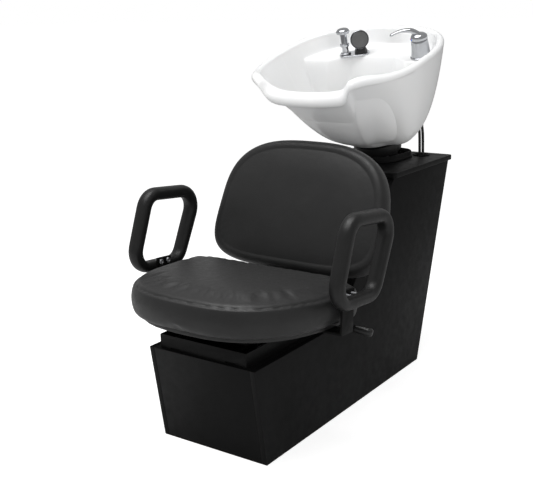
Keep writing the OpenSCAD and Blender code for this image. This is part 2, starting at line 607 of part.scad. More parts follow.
module bottle_trap() color("#e4e4e4") cab() {
  rod_z(40, 60, [trap_at[0], trap_at[1], 420 - 0.3]);
  rod_z(76, 130, [trap_at[0], trap_at[1], 300]);
  rod_z(84, 16, [trap_at[0], trap_at[1], 404]);
  pipe(tail_d + 3, [[trap_at[0], trap_at[1], 370], [outlet_x, trap_at[1], 370],
                    [outlet_x, trap_at[1], outlet_z], [outlet_x, outlet_end - spigot, outlet_z]]);
  rod_y(tail_d, spigot + 4, [outlet_x, outlet_end - spigot - 4, outlet_z]);
}

// ---------- water supply ----------
valve_y = 940;
valve_x = [40, 100];
module stop_valve(x) cab() {
  rod_z(24, 90, [x, valve_y, 85]);
  rod_y(19, 14, [x, valve_y, 98]);
  rod_y(15, 70, [x, valve_y, 98]);
  rod_y(12, 24, [x, valve_y - 34, 140]);
  rod_z(14, 22, [x, valve_y, 174]);
}
module stop_valve_hot() color("#b08d57") { stop_valve(valve_x[0]); cab() rod_y(32, 8, [valve_x[0], valve_y - 40, 140]); }
module stop_valve_cold() color("#b08d57") { stop_valve(valve_x[1]); cab() rod_y(32, 8, [valve_x[1], valve_y - 40, 140]); }
module pipe_clips() color("#8a8a8c") cab() for (x = valve_x) difference() {
  across(34, x) polygon([[valve_y, slot_h + 14], [rear_in(slot_h + 14), slot_h + 14],
                         [rear_in(slot_h + 32), slot_h + 32], [valve_y, slot_h + 32]]);
  rod_z(24.2, 60, [x, valve_y, slot_h]);
}
// Both hoses follow one route, side by side.
function supply_route(side) = let (a = bowl_pt(mixer_at[1], -tap_deck - 80), x = mixer_at[0]) [
  [valve_x[side < 0 ? 0 : 1], valve_y, 196.3], [valve_x[side < 0 ? 0 : 1], valve_y, 225],
  [80 + 12 * side, 950, 265], [92 + 8 * side, 975, 330], [97 + 7 * side, 1020, 420], [98 + 6 * side, 1062, 510],
  [98 + 6 * side, 1084, 590], [98 + 6 * side, 1090, 650], [98 + 6 * side, 1089, 700], [99 + 6 * side, 1084, 740],
  [106 + 6 * side, 1071, 768], [124 + 7 * side, 1050, 784], [149 + 7 * side, 1024, 794], [170 + 7 * side, 990, 811],
  [x + 7 * side, 960, 848], [x + 7 * side, a[0], a[1]]
];
module supply_hose_hot() color("#1a1a1a") cab() swept(supply_route(-1), hose_d, 8);
module supply_hose_cold() color("#1a1a1a") cab() swept(supply_route(1), hose_d, 8);

// ---------- mixer tap ----------
mixer_h = 56;
module at_mixer() in_bowl() translate([mixer_at[0], mixer_at[1], -tap_deck]) children();
module mixer_body() color("#d8dadc") at_mixer() {
  translate([0, 0, 0.4]) cylinder(r = 34, h = 5);
  translate([0, 0, 0.4]) cylinder(r1 = 30, r2 = 26, h = mixer_h);
  rod_z(33, 80, [0, 0, -79.4]);
}
module mixer_nut() color("#b08d57") at_mixer() difference() {
  rod_z(48, 9, [0, 0, -24]);
  rod_z(33.4, 12, [0, 0, -25]);
}
handle_turn = 28;
hinge_z = mixer_h + 14;
module mixer_cap() color("#d8dadc") at_mixer() difference() {
  translate([0, 0, mixer_h + 0.8]) {
    cylinder(r = 26, h = 10);
    translate([0, 0, 10]) cylinder(r1 = 26, r2 = 19, h = 9);
  }
  rotate(handle_turn) translate([-40, -8, mixer_h + 6]) cube([50, 16, 30]);
}
// The handle swings up about a pin across the cap's slot.
module mixer_handle() color("#d8dadc") at_mixer() rotate(handle_turn) translate([0, 0, hinge_z], $fn = 24) {
  rotate([90, 0, 0]) cylinder(d = 12.4, h = 14, center = true);
  hull() { rotate([90, 0, 0]) cylinder(d = 12, h = 14, center = true); translate([-24, 0, 18]) sphere(7); }
  hull() { translate([-24, 0, 18]) sphere(7); translate([-54, 0, 19]) sphere(6); }
  hull() { translate([-54, 0, 19]) sphere(6); translate([-86, 0, 11]) sphere(4); }
}

// ---------- spray dock ----------
module at_dock() in_bowl() translate([dock_at[0], dock_at[1], -tap_deck + 0.4]) rotate(dock_turn) children();
module dock_plate() color("#d8dadc") at_dock() difference() {
  linear_extrude(5) polygon(rounded(rect(96, -27, 27), 22, 8));
  rod_z(16, 20, [cup_x, 0, -5]);
  rod_z(16 + hole_gap, 20, [breaker_x, 0, -5]);
}
breaker_h = 74;
module breaker_column() color("#d8dadc") at_dock() translate([breaker_x, 0, 0]) {
  rod_z(15, 30, [0, 0, -24.8]);
  rod_z(34, 5, [0, 0, 5.2]);
  rod_z(22, breaker_h - 5.6, [0, 0, 5.2]);
  rod_z(30, 9, [0, 0, 30]);
}
module breaker_cap() color("#d8dadc") at_dock() translate([breaker_x, 0, breaker_h]) {
  cylinder(d = 40, h = 8);
  translate([0, 0, 8]) cylinder(r1 = 22, r2 = 16, h = 8);
}
module at_cup() at_dock() translate([cup_x, 0, 5.2]) children();
module handset_cup() color("#151515") at_cup() difference() {
  cylinder(r1 = 21, r2 = 18, h = 13);
  translate([0, 0, 3]) cylinder(r = 14.5, h = 30);
  rod_z(16, 20, [0, 0, -5]);
}
head_turn = 35 - dock_turn;
head_z = 44;
spray_tip = 13;
module spray_handset() color("#b9bcc0") at_cup() {
  translate([0, 0, 3.4]) cylinder(r1 = 13, r2 = 12, h = 30);
  translate([0, 0, head_z]) rotate([84, 0, head_turn]) {
    cylinder(r = 30, h = spray_tip);
    translate([0, 0, -16]) cylinder(r1 = 16, r2 = 30, h = 16.01);
  }
  rod_z(12, 176, [0, 0, -172]);
}
module spray_face() color("#4a4c4e") at_cup() translate([0, 0, head_z]) rotate([84, 0, head_turn])
  translate([0, 0, spray_tip + 0.2]) cylinder(r = 26, h = 3);

side_panel_left();
side_panel_right();
bottom_panel();
front_panel();
deck_panel();
tower_front_panel();
top_plate();
stretcher_rails();
rear_access_panel();
access_panel_screws();
corner_cleats();
hose_grommet();
slide_base();
slide_base_screws();
lower_rails();
latch_rack();
upper_rails();
seat_frame();
seat_board();
seat_cushion();
back_bar();
back_board();
back_cushion();
back_bolts();
arm_left();
arm_right();
arm_bracket_left();
arm_bracket_right();
arm_bolts();
lever_pivot_bolt();
slide_lever();
lever_knob();
tilt_bracket();
tilt_bracket_bolts();
tilt_boot();
tilt_pins();
bowl_cradle();
pivot_shroud();
bowl_bolts();
bowl_shell();
drain_flange();
drain_strainer();
tailpiece();
drain_hose();
bottle_trap();
stop_valve_hot();
stop_valve_cold();
pipe_clips();
supply_hose_hot();
supply_hose_cold();
mixer_body();
mixer_nut();
mixer_cap();
mixer_handle();
dock_plate();
breaker_column();
breaker_cap();
handset_cup();
spray_handset();
spray_face();
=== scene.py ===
# %% [markdown]
# # A shampoo backwash unit
# A backwash unit is a chair and a basin on one cabinet. The sitter leans back until the neck lies in the
# basin's notch, and the hair is washed from behind. The real object is a mix of trades: laminated board,
# bent steel, moulded urethane, sewn vinyl over foam, cast and glazed china, and chromed brass. Each cell
# below makes one of those pieces as its trade does, and says which other way was open.
#
# The construction model comes first and never moves. Everything made here sits in its frame, in metres.

# %% Load the frame
import json

import bmesh
import bpy
import numpy as np
from mathutils import Matrix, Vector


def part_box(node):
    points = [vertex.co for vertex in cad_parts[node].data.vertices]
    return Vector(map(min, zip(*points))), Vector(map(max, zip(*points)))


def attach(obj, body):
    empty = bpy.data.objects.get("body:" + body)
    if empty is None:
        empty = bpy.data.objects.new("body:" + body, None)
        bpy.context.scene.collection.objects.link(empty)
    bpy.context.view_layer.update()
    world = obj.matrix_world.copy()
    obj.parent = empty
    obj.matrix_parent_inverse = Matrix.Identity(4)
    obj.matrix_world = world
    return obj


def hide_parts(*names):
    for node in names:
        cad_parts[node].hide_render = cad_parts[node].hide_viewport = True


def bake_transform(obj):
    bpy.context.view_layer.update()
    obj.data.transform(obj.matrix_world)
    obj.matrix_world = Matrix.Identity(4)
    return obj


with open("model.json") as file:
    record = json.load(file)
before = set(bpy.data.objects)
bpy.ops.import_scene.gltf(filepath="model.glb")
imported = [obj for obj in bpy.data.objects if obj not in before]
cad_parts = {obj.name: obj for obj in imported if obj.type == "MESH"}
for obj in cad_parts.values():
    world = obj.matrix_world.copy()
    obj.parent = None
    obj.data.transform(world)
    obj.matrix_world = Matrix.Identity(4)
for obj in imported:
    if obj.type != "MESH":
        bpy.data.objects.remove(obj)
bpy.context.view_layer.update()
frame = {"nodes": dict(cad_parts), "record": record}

MM = 0.001
Y_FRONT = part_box("side_panel_right")[0][1]

# %% [markdown]
# ## The view
# The unit is seen from its front right, a little above the bowl's rim. A camera is best set from its own
# axes: `back` points from the object to the lens, and the roll turns the other two about it. The floor is a
# plain pale sheet and the light is soft: a pale world, one big panel overhead and one on each side.

# %% Camera, floor and light
CAMERA_AT = np.array([1.444, Y_FRONT - 1.735, 1.164])
AZIMUTH, ELEVATION, ROLL = np.radians([35.2, 14.25, -1.2])
LENS_MM, SENSOR_MM = 62.2, 36


def camera_axes(azimuth, elevation, roll):
    """Right, up and back of a lens: back from the two angles, then right and up turned by the roll."""
    level = np.cos(elevation)
    back = np.array([np.sin(azimuth) * level, -np.cos(azimuth) * level, np.sin(elevation)])
    right = np.array([np.cos(azimuth), np.sin(azimuth), 0.0])
    up = np.cross(back, right)
    return np.cos(roll) * right + np.sin(roll) * up, np.cos(roll) * up - np.sin(roll) * right, back


def add_camera():
    lens = bpy.data.cameras.new("camera")
    lens.sensor_width = SENSOR_MM
    lens.lens = LENS_MM
    camera = bpy.data.objects.new("camera", lens)
    pose = np.eye(4)
    pose[:3, :3] = np.column_stack(camera_axes(AZIMUTH, ELEVATION, ROLL))
    pose[:3, 3] = CAMERA_AT
    camera.matrix_world = Matrix(pose.tolist())
    bpy.context.scene.collection.objects.link(camera)
    bpy.context.scene.camera = camera
    return camera


def add_panel(name, at, towards, size, power, mirrored=True):
    """A square soft light at one point, turned to face another, which may be left out of reflections."""
    light = bpy.data.lights.new(name, "AREA")
    light.size, light.energy = size, power
    lamp = bpy.data.objects.new(name, light)
    back = np.array(at, float) - np.array(towards, float)
    back /= np.linalg.norm(back)
    right = np.cross([0, 1, 0.001], back)
    right /= np.linalg.norm(right)
    pose = np.eye(4)
    pose[:3, :3] = np.column_stack([right, np.cross(back, right), back])
    pose[:3, 3] = at
    lamp.matrix_world = Matrix(pose.tolist())
    lamp.visible_glossy = mirrored
    bpy.context.scene.collection.objects.link(lamp)


def add_floor(half=60.0, grey=0.60, glow=0.76):
    """A pale floor. Its glow is seen by the camera alone, so the underside of the unit stays dark."""
    mesh = bpy.data.meshes.new("floor")
    corners = [(-half, -half, 0), (half, -half, 0), (half, half, 0), (-half, half, 0)]
    mesh.from_pydata(corners, [], [(0, 1, 2, 3)])
    floor = bpy.data.objects.new("floor", mesh)
    bpy.context.scene.collection.objects.link(floor)
    paint = bpy.data.materials.new("floor_paint")
    paint.use_nodes = True
    tree = paint.node_tree
    shader, rays, gain = (tree.nodes["Principled BSDF"], tree.nodes.new("ShaderNodeLightPath"),
                          tree.nodes.new("ShaderNodeMath"))
    shader.inputs["Base Color"].default_value = (grey, grey, grey, 1)
    shader.inputs["Roughness"].default_value = 0.9
    shader.inputs["Specular IOR Level"].default_value = 0.0
    shader.inputs["Emission Color"].default_value = (1, 1, 1, 1)
    gain.operation, gain.inputs[1].default_value = "MULTIPLY", glow
    tree.links.new(rays.outputs["Is Camera Ray"], gain.inputs[0])
    tree.links.new(gain.outputs[0], shader.inputs["Emission Strength"])
    mesh.materials.append(paint)


def set_world(colour, strength):
    world = bpy.data.worlds.new("studio")
    bpy.context.scene.world = world
    world.use_nodes = True
    tree = world.node_tree
    sky, out = tree.nodes["Background"], tree.nodes["World Output"]
    sky.inputs["Color"].default_value = (*colour, 1)
    sky.inputs["Strength"].default_value = strength
    backdrop, rays, pick = (tree.nodes.new(kind) for kind in (
        "ShaderNodeBackground", "ShaderNodeLightPath", "ShaderNodeMixShader"))
    backdrop.inputs["Color"].default_value = (1, 1, 1, 1)
    tree.links.new(rays.outputs["Is Camera Ray"], pick.inputs["Fac"])
    tree.links.new(sky.outputs["Background"], pick.inputs[1])
    tree.links.new(backdrop.outputs["Background"], pick.inputs[2])
    tree.links.new(pick.outputs["Shader"], out.inputs["Surface"])


bpy.context.scene.view_settings.view_transform = "Standard"
add_camera()
add_floor()
set_world((1.0, 1.0, 1.0), 0.42)
add_panel("overhead_panel", (-0.3, -0.6, 3.1), (0, 0.0, 0.5), 2.0, 62)
add_panel("left_panel", (-2.4, -2.4, 1.3), (0, 0, 0.7), 1.4, 40, False)
add_panel("right_panel", (2.6, -1.6, 0.9), (0, 0.1, 0.9), 1.4, 36, False)
print("lens", round(bpy.context.scene.camera.data.lens, 2), "mm")

# %% [markdown]
# ## Surfaces from two parameters
# Nearly every new piece is a grid of points: one parameter runs along the piece and one around it. A grid
# can be edited by formula, keeps clean quads, and closes without hidden faces. Three makers cover the unit:
# a plain grid, a profile turned about an axis, and a section carried along a path.

# %% Grid, turned and swept surfaces
def mm(rows):
    """Rows of numbers in millimetres, as metres."""
    return np.array(rows, float) * MM


def unit(v):
    return v / np.linalg.norm(v, axis=-1, keepdims=True)


def power(c, p):
    """The signed power: the sign of c times the size of c raised to p."""
    return np.sign(c) * np.abs(c) ** p


def smooth(a, b, x):
    """0 before a, 1 after b, and the cubic 3s^2 - 2s^3 between."""
    s = np.clip((x - a) / (b - a), 0, 1)
    return s * s * (3 - 2 * s)


def grid_faces(rows, cols, wrap_rows, wrap_cols):
    """The quads of a grid of points: each joins a point to the next along its row, across, and back."""
    r = np.arange(rows if wrap_rows else rows - 1)[:, None]
    c = np.arange(cols if wrap_cols else cols - 1)[None, :]
    r1, c1 = (r + 1) % rows, (c + 1) % cols
    return np.stack([r * cols + c, r * cols + c1, r1 * cols + c1, r1 * cols + c], -1).reshape(-1, 4)


def signed_volume(points, faces):
    """A sixth of the sum of a . (b x c) over the triangles, which is negative inside out."""
    a, b, c, d = (points[faces[:, k]] for k in range(4))
    return float((np.cross(a, b) * c).sum() + (np.cross(a, c) * d).sum()) / 6


def grid_piece(name, grid, body, material, wrap_rows=False, wrap_cols=True, caps=(True, True), uv_size=None):
    """A mesh from an array of points, rows by columns. An open end of a tube is closed with a fan of
    triangles about its middle. Faces are turned outwards by the sign of the volume."""
    rows, cols = grid.shape[:2]
    points = grid.reshape(-1, 3)
    quads = grid_faces(rows, cols, wrap_rows, wrap_cols)
    fans = []
    if wrap_cols and not wrap_rows:
        for end, closed in zip((0, rows - 1), caps):
            if closed:
                ring = end * cols + np.arange(cols)
                points = np.vstack([points, points[ring].mean(0)])
                tip = np.full(cols, len(points) - 1)
                pair = (np.roll(ring, -1), ring) if end == 0 else (ring, np.roll(ring, -1))
                fans.append(np.column_stack([*pair, tip, tip]))
    every = np.vstack([quads, *fans])
    if signed_volume(points, every) < 0:
        quads, fans = quads[:, ::-1], [f[:, [1, 0, 2, 3]] for f in fans]
    faces = quads.tolist() + [f for fan in fans for f in fan[:, :3].tolist()]
    mesh = bpy.data.meshes.new(name)
    mesh.from_pydata(points.tolist(), [], faces)
    mesh.polygons.foreach_set("use_smooth", np.ones(len(faces), bool))
    if uv_size is not None:
        along, around = np.meshgrid(
            np.linspace(0, uv_size[0], rows), np.arange(cols) / cols * uv_size[1], indexing="ij")
        flat = np.zeros((len(points), 2))
        flat[: rows * cols] = np.column_stack([along.ravel(), around.ravel()])
        loops = np.zeros(len(mesh.loops), int)
        mesh.loops.foreach_get("vertex_index", loops)
        mesh.uv_layers.new(name="surface").data.foreach_set("uv", flat[loops].ravel())
    return finish_piece(name, mesh, body, material)


def finish_piece(name, mesh, body, material):
    mesh.materials.clear()
    mesh.materials.append(material)
    piece = bpy.data.objects.new(name, mesh)
    bpy.context.scene.collection.objects.link(piece)
    if body:
        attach(piece, body)
    return piece


def place(points, origin, turn):
    """Local points turned by a 3 by 3 matrix, then moved to an origin."""
    return points @ np.asarray(turn).T + origin


def turn_x(degrees):
    c, s = np.cos(np.radians(degrees)), np.sin(np.radians(degrees))
    return np.array([[1, 0, 0], [0, c, -s], [0, s, c]])


def turn_z(degrees):
    c, s = np.cos(np.radians(degrees)), np.sin(np.radians(degrees))
    return np.array([[c, -s, 0], [s, c, 0], [0, 0, 1]])


def resample(points, count, closed=False):
    """A smooth curve through given points: Catmull-Rom pieces, read off at even steps of length."""
    p = np.asarray(points, float)
    p = np.vstack([p[-1], p, p[:2]]) if closed else np.vstack([2 * p[0] - p[1], p, 2 * p[-1] - p[-2]])
    s = np.linspace(0, 1, 24, endpoint=False)[:, None, None]
    a, b, c, d = p[:-3], p[1:-2], p[2:-1], p[3:]
    curve = 0.5 * (2 * b + (c - a) * s + (2 * a - 5 * b + 4 * c - d) * s**2 + (3 * b - a - 3 * c + d) * s**3)
    curve = curve.transpose(1, 0, 2).reshape(-1, p.shape[1])
    curve = np.vstack([curve, p[1] if closed else p[-2]])
    length = np.append(0, np.cumsum(np.linalg.norm(np.diff(curve, axis=0), axis=1)))
    at = np.linspace(0, length[-1], count, endpoint=not closed)
    return np.column_stack([np.interp(at, length, curve[:, k]) for k in range(p.shape[1])])


def turned(profile, sides=64, count=None):
    """A profile of (radius, height) turned about Z: x = r cos a, y = r sin a."""
    p = np.asarray(profile, float) if count is None else resample(profile, count)
    a = np.arange(sides) / sides * 2 * np.pi
    return np.stack([p[:, :1] * np.cos(a), p[:, :1] * np.sin(a), p[:, 1:2] + 0 * a], -1)


def carried(path, half_width, half_height, sides=24, square=2.0, side_axis=(0, 0, 1), closed=False):
    """A squarish oval section carried along a path. Its width lies along side_axis, kept square to the path,
    and the section is (w cos a, h sin a) with signed powers 2/square."""
    path = np.asarray(path, float)
    ahead = np.roll(path, -1, 0) - np.roll(path, 1, 0)
    if not closed:
        ahead[0], ahead[-1] = path[1] - path[0], path[-1] - path[-2]
    ahead = unit(ahead)
    side = np.broadcast_to(np.asarray(side_axis, float), ahead.shape)
    side = unit(side - (side * ahead).sum(-1, keepdims=True) * ahead)
    rise = np.cross(ahead, side)
    a = np.arange(sides) / sides * 2 * np.pi
    w = np.broadcast_to(np.asarray(half_width, float), len(path))[:, None, None]
    h = np.broadcast_to(np.asarray(half_height, float), len(path))[:, None, None]
    across, over = power(np.cos(a), 2 / square)[None, :, None], power(np.sin(a), 2 / square)[None, :, None]
    return path[:, None] + w * across * side[:, None] + h * over * rise[:, None]


print("surface makers ready")

# %% [markdown]
# ## Finishes
# A finish is a shader whose constants sit on its own sockets, with noise feeding only what changes over the
# surface: colour, roughness and bump. Patterns read Object coordinates, which are metres here, so a grain
# cell of one millimetre is a scale of a thousand.

# %% Finish helpers
def new_finish(name, colour, rough, **sockets):
    finish = bpy.data.materials.new(name)
    finish.use_nodes = True
    finish.diffuse_color = (*colour, 1)
    shader = finish.node_tree.nodes["Principled BSDF"]
    shader.inputs["Base Color"].default_value = (*colour, 1)
    shader.inputs["Roughness"].default_value = rough
    for socket, value in sockets.items():
        shader.inputs[socket.replace("_", " ")].default_value = value
    return finish


def add_node(finish, kind, **settings):
    node = finish.node_tree.nodes.new(kind)
    for key, value in settings.items():
        if key in node.inputs:
            node.inputs[key].default_value = value
        else:
            setattr(node, key, value)
    return node


def join(finish, source, socket, target, into):
    finish.node_tree.links.new(source.outputs[socket], target.inputs[into])


def object_noise(finish, scale, detail=3.0, stretch=(1, 1, 1), kind="ShaderNodeTexNoise"):
    """Noise or cells on Object coordinates, stretched along the axes."""
    where = add_node(finish, "ShaderNodeTexCoord")
    mapping = add_node(finish, "ShaderNodeMapping")
    mapping.inputs["Scale"].default_value = stretch
    noise = add_node(finish, kind)
    noise.inputs["Scale"].default_value = scale
    if "Detail" in noise.inputs:
        noise.inputs["Detail"].default_value = detail
    join(finish, where, "Object", mapping, "Vector")
    join(finish, mapping, "Vector", noise, "Vector")
    return noise


def ranged(finish, source, socket, low, high, start=0.0, end=1.0):
    """A linear map of a texture's value from start..end to low..high."""
    spread = add_node(finish, "ShaderNodeMapRange")
    for key, value in (("From Min", start), ("From Max", end), ("To Min", low), ("To Max", high)):
        spread.inputs[key].default_value = value
    join(finish, source, socket, spread, "Value")
    return spread


def vary_colour(finish, source, socket, dark, light, start=0.3, end=0.7):
    ramp = add_node(finish, "ShaderNodeValToRGB")
    ramp.color_ramp.elements[0].position, ramp.color_ramp.elements[1].position = start, end
    ramp.color_ramp.elements[0].color, ramp.color_ramp.elements[1].color = (*dark, 1), (*light, 1)
    join(finish, source, socket, ramp, "Fac")
    join(finish, ramp, "Color", finish.node_tree.nodes["Principled BSDF"], "Base Color")


def vary_rough(finish, source, socket, low, high):
    spread = ranged(finish, source, socket, low, high, 0.3, 0.7)
    join(finish, spread, "Result", finish.node_tree.nodes["Principled BSDF"], "Roughness")


def add_bump(finish, source, socket, depth, strength=1.0, under=None):
    bump = add_node(finish, "ShaderNodeBump")
    bump.inputs["Strength"].default_value = strength
    bump.inputs["Distance"].default_value = depth
    join(finish, source, socket, bump, "Height")
    if under is not None:
        join(finish, under, "Normal", bump, "Normal")
    join(finish, bump, "Normal", finish.node_tree.nodes["Principled BSDF"], "Normal")
    return bump


# %% [markdown]
# ### Board, vinyl and moulded black
# The cabinet's laminate is almost black with a fine pebble and a soft sheen. The vinyl is a charcoal film
# with leather cells about a millimetre across, softened by a second, finer noise, so that it catches grey
# highlights. Self-skinned urethane is closer and flatter. Painting these as one black would lose the unit.

# %% Dark finishes
def laminate(name="satin_laminate", tone=0.0050):
    finish = new_finish(name, (tone, tone, tone * 1.03), 0.46, Specular_IOR_Level=0.10)
    cloud = object_noise(finish, 9.0, 5)
    vary_colour(finish, cloud, "Fac", (tone * 0.9,) * 3, (tone * 1.12, tone * 1.12, tone * 1.16))
    vary_rough(finish, object_noise(finish, 42.0, 4), "Fac", 0.42, 0.52)
    add_bump(finish, object_noise(finish, 1500.0, 2), "Fac", 0.00008, 0.5)
    return finish


def vinyl(name="charcoal_vinyl", tone=0.0090):
    finish = new_finish(
        name, (tone,) * 3, 0.40, Specular_IOR_Level=0.42, Sheen_Weight=0.03, Sheen_Roughness=0.5)
    vary_colour(finish, object_noise(finish, 14.0, 6), "Fac", (tone * 0.88,) * 3, (tone * 1.14,) * 3)
    vary_rough(finish, object_noise(finish, 60.0, 5), "Fac", 0.37, 0.5)
    slack = add_bump(finish, object_noise(finish, 22.0, 2), "Fac", 0.0016, 0.35)
    cells = object_noise(finish, 820.0, kind="ShaderNodeTexVoronoi")
    cells.feature = "DISTANCE_TO_EDGE"
    walls = ranged(finish, cells, "Distance", 0, 1, 0.0, 0.22)
    grain = add_bump(finish, walls, "Result", 0.00016, 0.55, slack)
    add_bump(finish, object_noise(finish, 2400.0, 3), "Fac", 0.00004, 0.4, grain)
    return finish


def moulded(name, tone, rough, cell=1700.0, depth=0.00006, **sockets):
    """A moulded black: a low cloud in the colour and a fine spark-eroded texture in the bump."""
    finish = new_finish(name, (tone,) * 3, rough, **sockets)
    vary_colour(finish, object_noise(finish, 26.0, 5), "Fac", (tone * 0.86,) * 3, (tone * 1.18,) * 3)
    vary_rough(finish, object_noise(finish, 90.0, 4), "Fac", rough - 0.05, rough + 0.06)
    add_bump(finish, object_noise(finish, cell, 3), "Fac", depth, 0.6)
    return finish


LAMINATE = laminate()
VINYL = vinyl()
URETHANE = moulded("skinned_urethane", 0.0065, 0.4, 1300.0, 0.00007, Specular_IOR_Level=0.34)
POWDER_COAT = moulded("black_powder_coat", 0.003, 0.45, 600.0, 0.00008, Specular_IOR_Level=0.12)
RUBBER = moulded("boot_rubber", 0.004, 0.62, 2200.0, 0.00005, Specular_IOR_Level=0.2)
BLACK_PLASTIC = moulded("black_plastic", 0.007, 0.34, 2600.0, 0.00004)
DARK_PLASTIC = moulded("spray_plate_plastic", 0.10, 0.38, 2600.0, 0.00004)
print("dark finishes:", [m.name for m in (LAMINATE, VINYL, URETHANE, POWDER_COAT, RUBBER, BLACK_PLASTIC)])

# %% [markdown]
# ### China, chrome and the rest
# Glazed china is a white body under a clear layer, so a coat over a nearly white base gives both its depth
# and its sharp reflections; the glaze is never quite level, which a long low bump shows. Chrome is a metal
# with a roughness near zero, broken only by fine wiping marks.

# %% Bright finishes
def china(name="glazed_china"):
    finish = new_finish(
        name, (0.80, 0.80, 0.80), 0.33, Coat_Weight=0.35, Coat_Roughness=0.10, Specular_IOR_Level=0.3)
    vary_colour(finish, object_noise(finish, 5.0, 3), "Fac", (0.79, 0.795, 0.80), (0.81, 0.81, 0.805))
    vary_rough(finish, object_noise(finish, 30.0, 3), "Fac", 0.30, 0.36)
    add_bump(finish, object_noise(finish, 26.0, 2), "Fac", 0.0003, 0.25)
    return finish


def metal(name, colour, rough, stretch=(1, 1, 1), scale=240.0, depth=0.00003, **sockets):
    """A bare metal: roughness and a faint bump follow a noise that is stretched along the wiping."""
    finish = new_finish(name, colour, rough, Metallic=1.0, **sockets)
    marks = object_noise(finish, scale, 4, stretch)
    vary_rough(finish, marks, "Fac", max(0.02, rough - 0.03), rough + 0.05)
    shade = tuple(c * 0.94 for c in colour)
    vary_colour(finish, object_noise(finish, 35.0, 4), "Fac", shade, colour)
    add_bump(finish, marks, "Fac", depth, 0.3)
    return finish


def bare_wood(name="bare_plywood"):
    finish = new_finish(name, (0.45, 0.31, 0.18), 0.7)
    grain = object_noise(finish, 18.0, 6, (1, 7, 1))
    vary_colour(finish, grain, "Fac", (0.36, 0.24, 0.13), (0.55, 0.40, 0.25))
    add_bump(finish, object_noise(finish, 160.0, 4, (1, 9, 1)), "Fac", 0.0002, 0.6)
    return finish


def braided(name="braided_hose"):
    """A braid: two waves that cross along the hose's own UV map, which is in metres."""
    finish = new_finish(name, (0.012, 0.012, 0.012), 0.42)
    where = add_node(finish, "ShaderNodeTexCoord")
    heights = []
    for angle in (45, -45):
        turn = add_node(finish, "ShaderNodeMapping")
        turn.inputs["Rotation"].default_value = (0, 0, np.radians(angle))
        wave = add_node(finish, "ShaderNodeTexWave")
        wave.inputs["Scale"].default_value = 190.0
        join(finish, where, "UV", turn, "Vector")
        join(finish, turn, "Vector", wave, "Vector")
        heights.append(wave)
    higher = add_node(finish, "ShaderNodeMath", operation="MAXIMUM")
    join(finish, heights[0], "Fac", higher, 0)
    finish.node_tree.links.new(heights[1].outputs["Fac"], higher.inputs[1])
    vary_colour(finish, higher, "Value", (0.005,) * 3, (0.022,) * 3, 0.2, 0.9)
    add_bump(finish, higher, "Value", 0.0005, 0.7)
    return finish


CHINA = china()
CHROME = metal("polished_chrome", (0.54, 0.55, 0.57), 0.06)
ZINC = metal("zinc_plate", (0.52, 0.53, 0.55), 0.32, scale=160.0)
BRASS = metal("plain_brass", (0.62, 0.44, 0.18), 0.33)
WOOD = bare_wood()
BRAID = braided()
WHITE_PLASTIC = moulded("white_plastic", 0.7, 0.35, 2000.0, 0.00003)
HOT_RED = moulded("hot_mark_red", 0.3, 0.20)
COLD_BLUE = moulded("cold_mark_blue", 0.3, 0.20)
MARK_TONES = ((HOT_RED, (0.42, 0.02, 0.02), (0.5, 0.03, 0.03)),
              (COLD_BLUE, (0.02, 0.10, 0.42), (0.03, 0.13, 0.5)))
for paint, low, high in MARK_TONES:
    for node in paint.node_tree.nodes:
        if node.type == "VALTORGB":
            for stop, tone in zip(node.color_ramp.elements, (low, high)):
                stop.color = (*tone, 1)
print("bright finishes:", [m.name for m in (CHINA, CHROME, ZINC, BRASS)])

# %% [markdown]
# ## Edges on the hard pieces
# A board or a bent sheet never has a knife edge. The construction solids come in with sharp ones, so each is
# copied, its loose triangles are merged, and a bevel rounds what is sharper than thirty degrees. A render
# trick that only shades the edge would not show on the outline.

# %% Softened copies of the hard pieces
def clean_copy(name, weld=1e-5):
    """A merged copy of a construction mesh, with flat faces dissolved so that a bevel finds real edges."""
    shape = bmesh.new()
    shape.from_mesh(frame["nodes"][name].data)
    bmesh.ops.remove_doubles(shape, verts=shape.verts, dist=weld)
    bmesh.ops.dissolve_limit(shape, angle_limit=np.radians(1.0), verts=shape.verts, edges=shape.edges)
    mesh = bpy.data.meshes.new(name + "_soft")
    shape.to_mesh(mesh)
    shape.free()
    return mesh


def body_of(node):
    return next(body for body, nodes in BODY_NODES.items() if node in nodes)


BODY_NODES = {body: list(nodes) for body, nodes in frame["record"]["behaviour"]["bodies"].items()}


def soften(node, material, radius, segments=3, angle=30):
    mesh = clean_copy(node)
    mesh.polygons.foreach_set("use_smooth", np.ones(len(mesh.polygons), bool))
    piece = finish_piece(node + "_made", mesh, body_of(node), material)
    bevel = piece.modifiers.new("rounded", "BEVEL")
    bevel.width, bevel.segments = radius, segments
    bevel.limit_method, bevel.angle_limit = "ANGLE", np.radians(angle)
    bevel.use_clamp_overlap, bevel.harden_normals = True, True
    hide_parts(node)
    return piece


